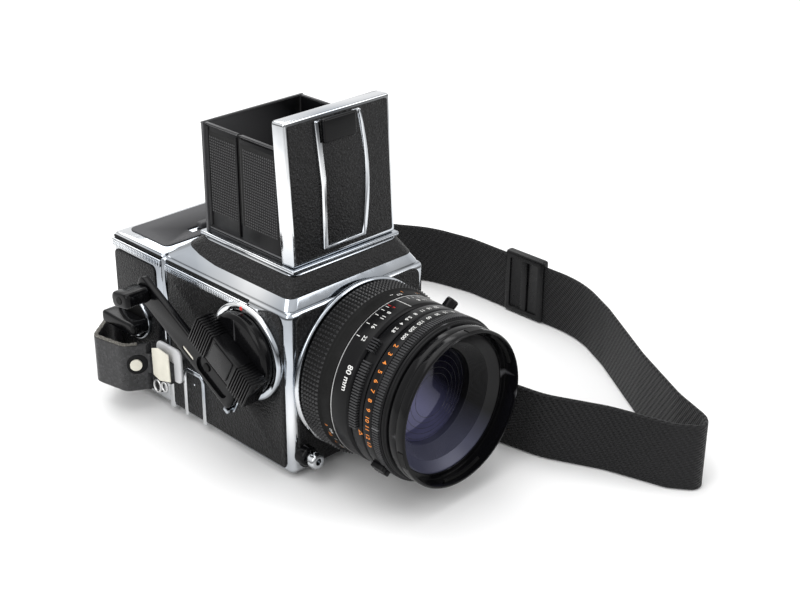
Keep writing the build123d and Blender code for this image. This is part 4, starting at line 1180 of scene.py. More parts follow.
def build_marks():
    """Engraved scales, read from behind the camera, with the tops of the digits towards the front."""
    depth = [("|", -69.7, BARREL_RADIUS, 0.8, 8.6)]
    for text, angle in (("22", 38.4), ("16", 27.9), ("11", 19.3), ("8", 13.7), ("5.6", 9.6)):
        for side in (-1, 1):
            depth.append(("|", -66.7, BARREL_RADIUS, side * angle, 1.9))
            if text != "5.6":
                depth.append((text, -70.2, BARREL_RADIUS, side * angle, 2.7))
    depth.append(("80 mm", -71.0, BARREL_RADIUS, -66.5, 4.0))
    finish_slot(ring_marks("depth_numbers", depth, "white"), BODY, "black_metal")
    warm = [("|", -66.7, BARREL_RADIUS, -7.6, 1.8), ("R", -69.2, BARREL_RADIUS, -7.6, 1.6)]
    finish_slot(ring_marks("infrared_index", warm, "red"), BODY, "black_metal")
    near, far = [], []
    metres = ("0.9", "1", "1.2", "1.5", "2", "3", "5", "10")
    feet = ("3", "3.5", "4", "5", "7", "10", "15", "30")
    for k in range(len(metres)):
        near.append((metres[k], -62.3, FOCUS_RADIUS, 8.0 + 16.0 * k, 2.3))
        far.append((feet[k], -60.1, FOCUS_RADIUS, 14.0 + 16.0 * k, 2.1))
    for k, angle in enumerate((-112.0, -121.0, -130.0, -139.0)):
        near.append((metres[k], -61.9, FOCUS_RADIUS, angle, 2.3))
        far.append((feet[k], -59.9, FOCUS_RADIUS, angle + 4.0, 2.1))
    near.append(("~", -61.0, FOCUS_RADIUS, 3.0, 3.0))
    finish_slot(ring_marks("distance_numbers", near, "white"), "focus_ring", "rubber")
    finish_slot(ring_marks("distance_numbers_orange", far, "orange"), "focus_ring", "rubber")
    fstops = ("2.8", "4", "5.6", "8", "11", "16", "22")
    row = [(t, -80.0, BARREL_RADIUS, -24.0 + 6.4 * k, 2.5) for k, t in enumerate(fstops)]
    finish_slot(ring_marks("stop_numbers", row, "white"), "stop_ring", "black_metal")
    speeds = ("500", "250", "125", "60", "30", "15", "8", "4", "2", "1", "B")
    row = [(t, -86.4, BARREL_RADIUS, -25.5 + 7.6 * k, 2.4) for k, t in enumerate(speeds)]
    finish_slot(ring_marks("speed_numbers", row, "white"), "speed_ring", "black_metal")
    light = [(str(k), -86.2, BARREL_RADIUS, -33.9 - 6.45 * (k - 2), 3.0) for k in range(2, 14)]
    finish_slot(ring_marks("light_value_numbers", light, "orange"), "speed_ring", "black_metal")
    triangle = triangle_mark("light_value_index", -81.9, BARREL_RADIUS, -98.5, 2.6)
    finish_slot(triangle, "stop_ring", "black_metal")


def triangle_mark(name, y, radius, degrees, size):
    """A hollow triangle laid on the barrel."""
    bm = bmesh.new()
    rings = []
    for scale in (1.0, 0.55):
        ring = []
        for k in range(3):
            a = math.radians(90 + 120 * k)
            across, along = size * 0.62 * scale * math.cos(a), size * 0.62 * scale * math.sin(a)
            t = math.radians(degrees) - across / radius
            ring.append(bm.verts.new(lens_point(y - along, radius + MARK_LIFT, t)))
        rings.append(ring)
    bridge(bm, *rings)
    return painted(name, bm, "orange")


# Release button


def build_button():
    """The release button in its housing, low on the front."""
    housing = lathe("button_housing", chamfered([(-43.0, 2.76), (-43.0, 4.5), (-47.2, 4.5), (-48.2, 3.9),
                                                 (-48.2, 2.76)], 0.2), button_point, "gloss", 64)
    finish_slot(housing, BODY, "black_metal", "release_housing")
    button = lathe("release_plunger", chamfered([(-41.3, 0), (-41.3, 2.7), (-50.3, 2.7), (-50.3, 3.6), (-52.9, 3.6),
                                                 (-53.5, 3.1), (-53.5, 1.5), (-49.5, 1.5), (-49.5, 0)], 0.12),
                   button_point, "chrome", 64)
    finish_slot(button, "release_button", "chrome_trim", "release_button")


# Winding crank


def build_winder():
    """The winding disc with its ribbed knob, and the crank arm folded along its slope."""
    place = side_point(CRANK_Y, CRANK_Z)
    flange = lathe("winder_chrome_flange", chamfered([(-39.6, 4.1), (-39.6, 22.4), (-41.6, 22.4), (-42.8, 22.0),
                                                      (-43.3, 21.2), (-43.2, 19.4), (-41.0, 19.3),
                                                      (-40.6, 4.1)], 0.12),
                   place, "chrome")
    finish_slot(flange, BODY, "chrome_trim", "winder_flange")
    disc = lathe("winder_black_disc", chamfered([(-40.9, 4), (-40.9, 18.9), (-46.4, 18.9), (-47.2, 18.3),
                                                 (-48.0, 17.2), (-48.0, 4)], 0.15), place, "gloss")
    finish_slot(disc, "winder", "black_metal", "winder_disc")
    middle = slope_plane(0.0, 0.0, DISC_FACE_X)
    knob = [prism("bar", rounded_outline(40.4, 13.4, 0.8), middle, -0.2, 8.1, 0.6, "gloss", 3)]
    for end in (-1, 1):
        outermost = slope_plane(end * 19.9, 0.0, DISC_FACE_X)
        rib = prism("rib", rounded_outline(0.72, 14.4, 0.2, 2), outermost, -0.2, 8.9, 0.2, "gloss", 2)
        knob.append(repeat("ribs", grid_tree, rib, "gloss", Columns=9, Rows=1, Corner=(0.0, 0.0, 0.0),
                           Row_Step=(0.0, 0.0, 0.0), Column_Step=tuple(middle[1] * (-end * 1.36 * MM))))
    finish_slot(join("winder_bar_knob", knob), "winder", "black_metal")
    pad = prism("winder_bar_pad", rounded_outline(13.4, 11.6, 0.8), slope_plane(0.0, 0.0, KNOB_TOP_X), -0.2, 0.7, 0.35,
                "plastic", 3)
    finish_slot(pad, "winder", "black_plastic")
    arm_face = slope_plane(0.0, ARM_OFFSET, ARM_FACE_X)
    shape = rounded_outline(73.0, 11.8, 2.8, middle=(25.2, 0.0))
    arm = prism("crank_arm_plate", shape, arm_face, 0.0, 3.6, 0.8, "gloss", 3)
    recess = prism("recess", rounded_outline(22.0, 8.4, 3.6, middle=(3.4, -0.6)), arm_face, 2.4, 8, 0, "gloss")
    slit = prism("slit", rounded_outline(8.4, 2.0, 0.9, middle=(20.4, 2.4)), arm_face, 2.6, 8, 0, "gloss")
    carve(arm, recess, slit)
    shade(arm)
    finish_slot(arm, "crank_arm", "black_metal", "crank_arm")
    rivet = prism("crank_arm_rivet", rounded_outline(4.2, 4.2, 2.09, 6, middle=(8.6, -0.6)), arm_face, 2.1, 3.0, 0.3,
                  "matt", 2)
    finish_slot(rivet, "crank_arm", "black_metal")
    inlay = prism("crank_arm_slit_inlay", rounded_outline(8.2, 1.8, 0.8, middle=(20.4, 2.4)), arm_face, 2.4, 3.1, 0.1,
                  "cream", 1)
    finish_slot(inlay, "crank_arm", "chrome_trim")
    disc_face = slope_plane(0.0, ARM_OFFSET, DISC_FACE_X)
    parts = [prism("ear", rounded_outline(3.4, 2.4, 0.8, middle=(-10.0, side * 7.4)), disc_face, 0.0, 4.2, 0.4,
                   "chrome") for side in (-1, 1)]
    foot = rounded_outline(4.6, 17.2, 1.0, middle=(-10.0, 0.0))
    parts.append(prism("foot", foot, disc_face, 0.0, 1.0, 0.2, "chrome"))
    finish_slot(join("crank_pivot_ears", parts), "winder", "chrome_trim", "crank_pivot")
    build_handle()


def build_handle():
    """The folding crank's handle: a waisted block, standing out from the camera's side."""
    slope = math.radians(CRANK_SLOPE)
    y = CRANK_Y + HANDLE_ALONG * math.cos(slope) + ARM_OFFSET * math.sin(slope)
    z = CRANK_Z + HANDLE_ALONG * math.sin(slope) - ARM_OFFSET * math.cos(slope)
    c, s = math.cos(math.radians(HANDLE_TILT)), math.sin(math.radians(HANDLE_TILT))
    outline = rounded_outline(12.6, 7.4, 2.6, 5)
    rings = []
    for x, grow in ((53.1, 0.80), (53.6, 0.92), (55.0, 1.0), (58.0, 0.95), (61.0, 0.95), (64.0, 1.0), (65.2, 0.97),
                    (65.9, 0.86), (66.1, 0.72)):
        rings.append([Vector((-x, y + (a * c - b * s) * grow, z + (a * s + b * c) * grow)) * MM for a, b in outline])
    handle = loft("crank_handle_block", rings, "gloss", 50.0)
    finish_slot(handle, "crank_handle", "black_plastic", "crank_handle")
    screw = lathe("crank_handle_screw", chamfered([(-66.0, 0), (-66.0, 2.0), (-66.45, 1.8), (-66.45, 0)], 0.1),
                  side_point(y, z), "matt", 32)
    finish_slot(screw, "crank_handle", "black_metal")


# Magazine


def build_magazine():
    """The film magazine with its leather, its top, its latch and the film key."""
    shell = rounded_box("magazine_case", (-MAGAZINE_HALF, MAGAZINE_HALF), (43.3, MAGAZINE_REAR),
                        (BODY_LOW, MAGAZINE_TOP), 3.0, "chrome", 4)
    room = rounded_box("room", (-36, 45), (49.6, 78.8), (5.1, 75.4), 0, "chrome")
    gate = rounded_box("gate", (-28, 28), (40, 52), (17, 73), 0, "chrome")
    slit = rounded_box("slit", (-28.9, 45), (45.3, 46.4), (15.5, 73.3), 0, "chrome")
    carve(shell, room, gate, slit)
    shade(shell)
    finish_slot(shell, BODY, "chrome_trim", "magazine_shell")
    side = prism("magazine_side_leather", rounded_outline(31.0, 66.0, 3.0, middle=(64.6, 38.4)),
                 side_plane(-MAGAZINE_HALF), -0.3, 0.75, 0.4, "leather")
    finish_slot(side, BODY, "black_leather", "magazine_covers")
    back = prism("magazine_back_leather", rounded_outline(71.0, 69.0, 4.0, middle=(0, 40.2)),
                 (Vector((0, MAGAZINE_REAR * MM, 0)), Vector((-1, 0, 0)), Vector((0, 0, 1)), Vector((0, 1, 0))),
                 -0.3, 0.7, 0.35, "leather")
    finish_slot(back, BODY, "black_leather")
    top = prism("magazine_top_skin", rounded_outline(66.0, 29.0, 3.0, middle=(0, 63.4)),
                (Vector((0, 0, MAGAZINE_TOP * MM)), Vector((1, 0, 0)), Vector((0, 1, 0)), Vector((0, 0, 1))),
                -0.3, 0.6, 0.3, "grey_top")
    slot = rounded_box("slot", (-14.4, 14.4), (53.6, 58.4), (78.0, 82.0), 0, "grey_top")
    carve(top, slot)
    finish_slot(top, BODY, "black_metal", "magazine_top_panel")
    latch = rounded_box("magazine_latch_slider", (-9, 9), (54, 58), (79.15, 82.0), 0.8, "grey_top")
    finish_slot(latch, "magazine_latch", "black_metal", "magazine_latch")
    place = side_point(KEY_Y, KEY_Z)
    dial = lathe("film_key_dial", chamfered([(-35.9, 0), (-35.9, 2.5), (-39.9, 2.5), (-39.9, 10.7), (-42.2, 11.0),
                                             (-42.9, 10.3), (-42.9, 9.2), (-42.3, 8.8), (-42.3, 0)], 0.15),
                 place, "chrome")
    finish_slot(dial, "film_key", "black_metal", "film_key")
    face = lathe("film_key_face", chamfered([(-42.2, 0), (-42.2, 8.5), (-42.75, 8.3), (-42.75, 0)], 0.1),
                 place, "matt", 64)
    finish_slot(face, "film_key", "black_metal")
    plane = (Vector((-43.2 * MM, KEY_Y * MM, KEY_Z * MM)), Vector((0, 1, 0)), Vector((0, 0, 1)), Vector((-1, 0, 0)))
    wing = prism("film_key_bow", bow_outline(12.3, 4.3, 2.9), plane, -0.2, 9.3, 1.5, "gloss", 5)
    finish_slot(wing, "film_key", "black_metal", "film_key_wing")


def bow_outline(half, wide, waist):
    """The film key's bow: rounded lobes at both ends and a narrow waist."""
    points = []
    count = 24
    for k in range(count):
        t = 2 * math.pi * k / count
        c, s = math.cos(t), math.sin(t)
        across = waist + (wide - waist) * abs(c) ** 1.5
        points.append((half * math.copysign(abs(c) ** 0.6, c), across * math.copysign(abs(s) ** 0.5, s)))
    return points


# Strap


def smooth_route(points, bends, count):
    """Even points along straight runs joined by round bends, on the ground plan."""
    line = [Vector((*points[0], 0)) * MM]
    for i, radius in enumerate(bends):
        here = Vector((*points[i + 1], 0)) * MM
        back = (Vector((*points[i], 0)) * MM - here).normalized()
        on = (Vector((*points[i + 2], 0)) * MM - here).normalized()
        half = back.angle(on) / 2
        reach = radius * MM / math.tan(half)
        middle = here + (back + on).normalized() * (radius * MM / math.sin(half))
        first = (here + back * reach - middle).normalized()
        last = (here + on * reach - middle).normalized()
        for k in range(13):
            line.append(middle + first.slerp(last, k / 12) * (radius * MM))
    line.append(Vector((*points[-1], 0)) * MM)
    lengths = [0.0]
    for a, b in zip(line, line[1:]):
        lengths.append(lengths[-1] + (b - a).length)
    out = []
    place = 0
    for k in range(count):
        target = lengths[-1] * k / (count - 1)
        while place < len(lengths) - 2 and lengths[place + 1] < target:
            place += 1
        span = max(lengths[place + 1] - lengths[place], 1e-9)
        out.append(line[place].lerp(line[place + 1], (target - lengths[place]) / span))
    return out, lengths[-1]


def beside(line, i):
    """The level direction square to a route at one of its points."""
    before, after = line[max(i - 1, 0)], line[min(i + 1, len(line) - 1)]
    return (after - before).normalized().cross(Vector((0, 0, 1)))


def strap_band(name, points, bends, low, high, thick, mat):
    """A strap standing on edge: a rounded section carried along the route, with UVs in metres."""
    line, length = smooth_route(points, bends, 220)
    edge = 0.32 * thick
    section = [(-thick / 2, low + edge), (-thick / 2 + edge, low), (thick / 2 - edge, low), (thick / 2, low + edge)]
    rows = 14
    heights = [low + edge + (high - low - 2 * edge) * k / rows for k in range(1, rows)]
    section += [(thick / 2, z) for z in heights]
    section += [(thick / 2, high - edge), (thick / 2 - edge, high)]
    section += [(-thick / 2 + edge, high), (-thick / 2, high - edge)]
    section += [(-thick / 2, z) for z in reversed(heights)]
    bm = bmesh.new()
    uv = bm.loops.layers.uv.new("strap")
    rings = []
    along = 0.0
    steps = []
    for i, p in enumerate(line):
        if i:
            along += (p - line[i - 1]).length
        steps.append(along)
        side = beside(line, i)
        rings.append([bm.verts.new(p + side * (off * MM) + Vector((0, 0, z * MM))) for off, z in section])
    count = len(section)
    for i in range(len(rings) - 1):
        for j in range(count):
            k = (j + 1) % count
            face = bm.faces.new((rings[i][j], rings[i][k], rings[i + 1][k], rings[i + 1][j]))
            for loop, (a, b) in zip(face.loops, ((i, j), (i, k), (i + 1, k), (i + 1, j))):
                loop[uv].uv = (steps[a], section[b][1] * MM)
    for ring in (rings[0], list(reversed(rings[-1]))):
        face = bm.faces.new(ring)
        for loop in face.loops:
            loop[uv].uv = (loop.vert.co.x, loop.vert.co.z)
    return from_bmesh(name, bm, mat), length


LEFT_ROUTE = [(-47.1, 24.0), (-47.1, 47.4), (-57.2, 53.4), (-60.7, 71.0), (-42.0, 85.2), (-30.0, 87.0), (-10.0, 93.0)]
LEFT_BENDS = [3.0, 5.0, 4.0, 10.0, 40.0]
BACK_ROUTE = [(-10.0, 93.0), (14.0, 112.0), (42.0, 136.0), (88.0, 122.0), (128.0, 92.0), (150.0, 58.0),
              (155.0, 32.0), (155.0, 6.0)]
BACK_BENDS = [30.0, 16.0, 60.0, 50.0, 50.0, 30.0]
OUTER_ROUTE = [(155.0, -20.0), (155.0, -44.0), (140.0, -72.0), (114.0, -112.0), (95.0, -146.0), (87.0, -166.0),
               (80.0, -171.0), (72.0, -160.0), (64.0, -132.0), (52.0, -106.0), (48.0, -80.0)]
OUTER_BENDS = [60.0, 40.0, 60.0, 60.0, 12.0, 4.0, 8.0, 40.0, 40.0]
LEATHER_LOW, LEATHER_HIGH = 12.0, 36.0
LUG_Y, LUG_Z = 32.0, 30.0
CLIP_X = 44.4
FOLD_X = 48.2
WIRE_RADIUS = 0.55
RIGHT_ROUTE = [(48.0, -80.0), (45.0, -60.5), (49.0, -20.0), (47.1, 24.0)]
RIGHT_BENDS = [40.0, 60.0]


def build_strap():
    """The two leathers and two runs of webbing, standing on edge where the photo shows them."""
    sizes = numbers("strap")
    wide, thin, stiff = sizes.webbing_width / MM, sizes.webbing_thick / MM, sizes.leather_thick / MM
    for name, route, bends, low, high, thick, mat, slot, node in (
            ("left_leather_strap", LEFT_ROUTE, LEFT_BENDS, LEATHER_LOW, LEATHER_HIGH, stiff,
             "strap_leather", "strap_leather", "left_strap_leather"),
            ("webbing_behind", BACK_ROUTE, BACK_BENDS, 0.0, wide, thin,
             "webbing", "webbing", "strap_webbing_back"),
            ("webbing_in_front", OUTER_ROUTE, OUTER_BENDS, 0.0, wide, thin,
             "webbing", "webbing", "strap_webbing_outer"),
            ("right_leather_strap", RIGHT_ROUTE, RIGHT_BENDS, LEATHER_LOW, LEATHER_HIGH, stiff,
             "strap_leather", "strap_leather", "right_strap_leather")):
        band, length = strap_band(name, route, bends, low, high, thick, mat)
        if node == "left_strap_leather":
            for end, z_low, z_high in ((47.4, 8.0, 21.0), (47.4, 31.0, 40.0), (30.9, 20.0, 32.0)):
                carve(band, rounded_box("cut", (-51.5, -42.0), (20.0, end), (z_low, z_high), 0, mat))
            shade(band)
        finish_slot(band, BODY, slot, node)
    build_slider()
    build_clips()
    build_strap_tab()


def build_slider():
    """The length buckle: a moulded frame about the strap, with a bar over the webbing."""
    frame_box = rounded_box("strap_slider_frame", (152.5, 157.5), (-20, 6), (0, 35), 1.6, "plastic", 4)
    window = rounded_box("window", (156.2, 160.0), (-16.4, 2.4), (3.4, 31.6), 0.8, "plastic", 2)
    rear = rounded_box("window", (150.0, 153.8), (-16.4, 2.4), (3.4, 31.6), 0.8, "plastic", 2)
    carve(frame_box, window, rear)
    shade(frame_box)
    finish_slot(frame_box, BODY, "black_plastic", "strap_slider")
    bars = [rounded_box("bar", xs, (-9.0, -5.0), (2.6, 32.4), 0.5, "plastic", 3)
            for xs in ((152.7, 153.9), (156.1, 157.3))]
    finish_slot(join("strap_slider_bars", bars), BODY, "black_plastic")


def build_clips():
    """The sprung steel plates that hook the strap to the camera's two lug studs."""
    for sign, name in ((-1, "left"), (1, "right")):
        plane = side_plane(sign * CLIP_X, sign)
        clip = prism(f"{name}_clip_plate", rounded_outline(18.0, 17.0, 3.0, middle=(35.0, 30.0)), plane, 0.0, 1.5, 0.5,
                     "plated", 3)
        finish_slot(clip, BODY, "chrome_trim", *(("strap_clips",) if sign < 0 else ()))
        place = side_point(LUG_Y, LUG_Z)
        lug = lathe(f"{name}_lug_stud", [(sign * a, r) for a, r in
                                         chamfered([(40.0, 0), (40.0, 1.6), (42.8, 1.6), (42.8, 3.6), (44.4, 3.6),
                                                    (44.4, 0)], 0.2)], place, "chrome", 40)
        finish_slot(lug, BODY, "chrome_trim", *(("strap_lugs",) if sign < 0 else ()))
        cover = side_plane(sign * FOLD_X, sign)
        fold = prism(f"{name}_clip_fold", [(30.6, 22.4), (38.6, 20.2), (43.4, 21.6), (43.6, 35.2), (38.8, 37.0),
                                           (31.0, 36.2)], cover, 0.02, 0.72, 0.3, "clip", 2)
        finish_slot(fold, BODY, "chrome_trim")
        forward = 0.0 if sign < 0 else 3.4  # keeps the right side's rings out of the dark slide's way
        loops = [wire_loop(sign, y - forward, z, radius) for y, z, radius in ((43.2, 15.2, 2.6), (37.6, 16.8, 2.0))]
        finish_slot(join(f"{name}_clip_wires", loops), BODY, "chrome_trim")


def wire_loop(sign, y, z, radius):
    """A small steel ring lying against the side, below the clip."""
    bm = bmesh.new()
    rings = []
    around, tube = 28, 10
    for i in range(around):
        a = 2 * math.pi * i / around
        ring = []
        for j in range(tube):
            b = 2 * math.pi * j / tube
            r = radius + WIRE_RADIUS * math.cos(b)
            ring.append(bm.verts.new(Vector((sign * (47.1 + WIRE_RADIUS * math.sin(b)), y + r * math.cos(a),
                                             z + 1.15 * r * math.sin(a))) * MM))
        rings.append(ring)
    for i in range(around):
        bridge(bm, rings[i], rings[(i + 1) % around])
    return from_bmesh("wire", bm, "satin", 60.0)


def build_strap_tab():
    """The tongue's end and its cream stud, on the strap's outer face behind the crank, with the raw top edge."""
    a, b = Vector((-48.3, 47.9, 0)), Vector((-57.4, 53.4, 0))
    u = (b - a).normalized()
    n = Vector((u.y, -u.x, 0))
    if n.y > 0:
        n = -n
    origin = (a + b) / 2 * MM + n * (0.35 * MM)
    plane = (origin, u, Vector((0, 0, 1)), n)
    tab = prism("strap_tongue_end", rounded_outline(9.8, 10.0, 4.6, 6, middle=(-0.4, 26.0)), plane, -0.1, 0.9, 0.4,
                "black", 3)
    finish_slot(tab, BODY, "strap_leather")
    cap = prism("strap_cream_stud", rounded_outline(5.6, 5.6, 2.79, 6, middle=(0.2, 26.0)), plane, 0.7, 1.8, 0.5,
                "cream", 3)
    finish_slot(cap, BODY, "chrome_trim")
    line, _ = smooth_route([(-52.0, 50.3)] + LEFT_ROUTE[2:], LEFT_BENDS[1:], 120)
    rings = []
    for i, p in enumerate(line):
        frill = 0.12 * math.sin(i * 2.1) + 0.1 * math.sin(i * 0.9)
        section = ((-1.0, -0.2), (-0.9, 0.3 + frill), (0.0, 0.5 + frill), (0.9, 0.3 + frill), (1.0, -0.2))
        rings.append([p + beside(line, i) * (off * MM) + Vector((0, 0, (LEATHER_HIGH + up) * MM))
                      for off, up in section])
    finish_slot(loft("strap_raw_top_edge", rings, "raw_edge", 50.0), BODY, "strap_leather")


# Pieces that keep their solids


def dress_nodes():
    """Finishes for the solids that stay visible, because no new piece stands for them."""
    keep = {"base_plate": "steel", "focusing_screen": "screen", "hood_base": "black", "magnifier_frame": "black",
            "magnifier_lens": "glass", "mirror": "mirror", "mirror_frame": "black", "upper_flap": "matt",
            "lower_flap": "matt", "rear_glass": "glass", "winder_shaft": "steel", "dark_slide": "satin",
            "film_insert": "black", "supply_spool": "plastic", "takeup_spool": "plastic"}
    for node, mat in keep.items():
        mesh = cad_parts[node].data
        mesh.materials.clear()
        mesh.materials.append(MATS[mat])


# Floor, light and camera

# Fitted to the photo: pixels for the focal length and middle, degrees for the turns, millimetres for the eye
PHOTO_WIDTH = 800
SENSOR_MM = 36.0
FOCAL_PIXELS = 1485.9
CENTRE_X = -1.34
CENTRE_Y = -1.04
ROLL = 0.41
TURN = -44.97
RISE = 25.78
EYE = (-393.85, -461.45, 351.41)


def build_camera():
    """The photo's own viewpoint."""
    a, e, roll = math.radians(TURN), math.radians(RISE), math.radians(ROLL)
    back = Vector((math.sin(a) * math.cos(e), -math.cos(a) * math.cos(e), math.sin(e)))
    right = Vector((math.cos(a), math.sin(a), 0))
    up = back.cross(right)
    c, s = math.cos(roll), math.sin(roll)
    right, up = right * c + up * s, up * c - right * s
    data = bpy.data.cameras.new("photo_camera")
    data.sensor_width = SENSOR_MM
    data.lens = FOCAL_PIXELS * SENSOR_MM / PHOTO_WIDTH
    data.shift_x = -CENTRE_X / PHOTO_WIDTH
    data.shift_y = CENTRE_Y / PHOTO_WIDTH
    data.clip_start = 0.01
    camera = put_in_scene("photo_camera", data)
    camera.matrix_world = Matrix.Translation(Vector(EYE) * MM) @ Matrix((right, up, back)).transposed().to_4x4()
    bpy.context.scene.camera = camera


def area_lamp(name, place, aim, size, power):
    """A rectangular lamp at a place in metres, aimed at another."""
    data = bpy.data.lights.new(name, "AREA")
    data.shape = "RECTANGLE"
    data.size, data.size_y = size
    data.energy = power
    lamp = put_in_scene(name, data)
    lamp.location = place
    lamp.rotation_euler = (Vector(aim) - Vector(place)).to_track_quat("-Z", "Y").to_euler()


def build_stage():
    """The pale floor, an even fill light under a sky that looks white, and four soft lamps."""
    bm = bmesh.new()
    bmesh.ops.create_grid(bm, x_segments=1, y_segments=1, size=numbers("stage").floor_size)
    mesh = plain_mesh("studio_floor", bm)
    s = Shader("studio_paper")
    s.set(Roughness=0.9, Specular_IOR_Level=0.1)
    s.bsdf.inputs["Base Color"].default_value = (*numbers("stage").floor_colour, 1)
    mesh.materials.append(s.material)
    floor = put_in_scene("studio_floor", mesh)
    floor.location = (0, 0, -0.0003)
    scene = bpy.context.scene
    world = bpy.data.worlds.new("studio_world")
    scene.world = world
    world.use_nodes = True
    tree = world.node_tree
    light = tree.nodes["Background"]
    light.inputs["Color"].default_value = (1, 1, 1, 1)
    light.inputs["Strength"].default_value = numbers("stage").sky
    seen = tree.nodes.new("ShaderNodeBackground")
    seen.inputs["Color"].default_value = (1, 1, 1, 1)
    seen.inputs["Strength"].default_value = 1.0
    path = tree.nodes.new("ShaderNodeLightPath")
    mixer = tree.nodes.new("ShaderNodeMixShader")
    most = path.outputs["Is Camera Ray"]
    for kind in ("Is Glossy Ray", "Is Transmission Ray"):
        either = tree.nodes.new("ShaderNodeMath")
        either.operation = "MAXIMUM"
        tree.links.new(most, either.inputs[0])
        tree.links.new(path.outputs[kind], either.inputs[1])
        most = either.outputs[0]
    tree.links.new(most, mixer.inputs[0])
    tree.links.new(light.outputs[0], mixer.inputs[1])
    tree.links.new(seen.outputs[0], mixer.inputs[2])
    tree.links.new(mixer.outputs[0], tree.nodes["World Output"].inputs["Surface"])
    scene.view_settings.view_transform = "Standard"
    area_lamp("overhead_softbox", (-0.1, 0.1, 1.1), (0, 0, 0.05), (1.2, 1.0), 9.0)
    area_lamp("left_softbox", (-1.1, -0.2, 0.7), (0, 0, 0.05), (0.7, 0.9), 6.0)
    area_lamp("rear_softbox", (0.5, 1.6, 1.5), (0.4, 0.9, 0), (1.6, 1.0), 14.0)
    area_lamp("right_softbox", (0.7, -1.0, 0.8), (0, 0, 0.05), (0.7, 0.8), 5.0)


def numbers(group):
    """The settings of one group."""
    return getattr(bpy.context.scene, "camera_part_" + group)


# Settings


class CAMERAPART_PG_finishes(bpy.types.PropertyGroup):
    # The crease and pebble colours are painted shade and a painted highlight on the leather's grain.
    leather_dark: bpy.props.FloatVectorProperty(
        name="Leather Creases", description="Colour in the creases of the body leather", subtype="COLOR", size=3,
        min=0, max=1, default=(0.0020, 0.0020, 0.0022))
    leather_light: bpy.props.FloatVectorProperty(
        name="Leather Pebbles", description="Colour on top of the leather's pebbles", subtype="COLOR", size=3,
        min=0, max=1, default=(0.026, 0.026, 0.028))
    leather_grain: bpy.props.FloatProperty(
        name="Leather Grain", description="Width of one pebble of the leather", unit="LENGTH", min=0.0003, max=0.004,
        default=0.00085)
    # The hollow and rib colours are painted shade and a painted highlight on the webbing's weave.
    strap_dark: bpy.props.FloatVectorProperty(
        name="Webbing Hollows", description="Colour between the webbing's ribs", subtype="COLOR", size=3, min=0, max=1,
        default=(0.002, 0.002, 0.0022))
    strap_light: bpy.props.FloatVectorProperty(
        name="Webbing Ribs", description="Colour on top of the webbing's ribs", subtype="COLOR", size=3, min=0, max=1,
        default=(0.013, 0.013, 0.014))
    number_white: bpy.props.FloatVectorProperty(
        name="White Numbers", description="Paint in the white engraved numbers", subtype="COLOR", size=3, min=0, max=1,
        default=(0.82, 0.82, 0.80))
    number_orange: bpy.props.FloatVectorProperty(
        name="Orange Numbers", description="Paint in the orange engraved numbers", subtype="COLOR", size=3, min=0,
        max=1, default=(0.85, 0.26, 0.03))
    # The colour of the front glass's painted reflection.
    coating: bpy.props.FloatVectorProperty(
        name="Glass Coating", description="Colour that the coated front glass sends back", subtype="COLOR", size=3,
        min=0, max=1, default=(0.075, 0.075, 0.15))


class CAMERAPART_PG_hood(bpy.types.PropertyGroup):
    stud_pitch: bpy.props.FloatProperty(
        name="Leaf Grid Pitch", description="Distance between the small studs on the hood's side leaves",
        unit="LENGTH", min=0.0008, max=0.004, default=0.00125)
    stud_height: bpy.props.FloatProperty(
        name="Leaf Stud Height", description="How far the studs stand out from the leaf", unit="LENGTH", min=0.0001,
        max=0.0006, default=0.00028)


class CAMERAPART_PG_lens(bpy.types.PropertyGroup):
    knurl_count: bpy.props.IntProperty(
        name="Knurls Around", description="Number of rubber studs in one row round the focus ring", min=40, max=200,
        default=118)
    knurl_rows: bpy.props.IntProperty(
        name="Knurl Rows", description="Number of rows of rubber studs", min=2, max=7, default=6)
    knurl_height: bpy.props.FloatProperty(
        name="Knurl Height", description="Height of one rubber stud", unit="LENGTH", min=0.0002, max=0.001,
        default=0.00072)
    rib_count: bpy.props.IntProperty(
        name="Grip Ribs Around", description="Number of fine ribs in a full turn of the metal grips", min=80, max=260,
        default=190)


class CAMERAPART_PG_strap(bpy.types.PropertyGroup):
    leather_thick: bpy.props.FloatProperty(
        name="Leather Thickness", description="Thickness of the strap's leather ends", unit="LENGTH", min=0.001,
        max=0.0024, default=0.0022)
    webbing_thick: bpy.props.FloatProperty(
        name="Webbing Thickness", description="Thickness of the strap's webbing", unit="LENGTH", min=0.001, max=0.0022,
        default=0.002)
    webbing_width: bpy.props.FloatProperty(
        name="Webbing Width", description="Height of the webbing as it stands on its edge", unit="LENGTH", min=0.02,
        max=0.033, default=0.032)


class CAMERAPART_PG_stage(bpy.types.PropertyGroup):
    floor_size: bpy.props.FloatProperty(
        name="Floor Size", description="Half the side of the studio floor", unit="LENGTH", min=1.0, max=20.0,
        default=6.0)
    floor_colour: bpy.props.FloatVectorProperty(
        name="Floor Colour", description="Colour of the studio floor", subtype="COLOR", size=3, min=0, max=1,
        default=(0.93, 0.93, 0.93))
    sky: bpy.props.FloatProperty(
        name="Fill Light", description="Strength of the even light from all round", min=0.0, max=1.0, default=0.55)


# Operators


class CAMERAPART_OT_finishes(bpy.types.Operator):
    """Makes the leather, chrome, enamel, rubber, paint, webbing and glass finishes."""
    bl_idname = "camera_part.finishes"
    bl_label = "Make Finishes"

    def execute(self, context):
        make_materials()
        return {"FINISHED"}


class CAMERAPART_OT_stage(bpy.types.Operator):
    """Adds the pale floor, the soft lights and the photo's viewpoint."""
    bl_idname = "camera_part.stage"
    bl_label = "Add Stage"

    def execute(self, context):
        build_stage()
        build_camera()
        return {"FINISHED"}


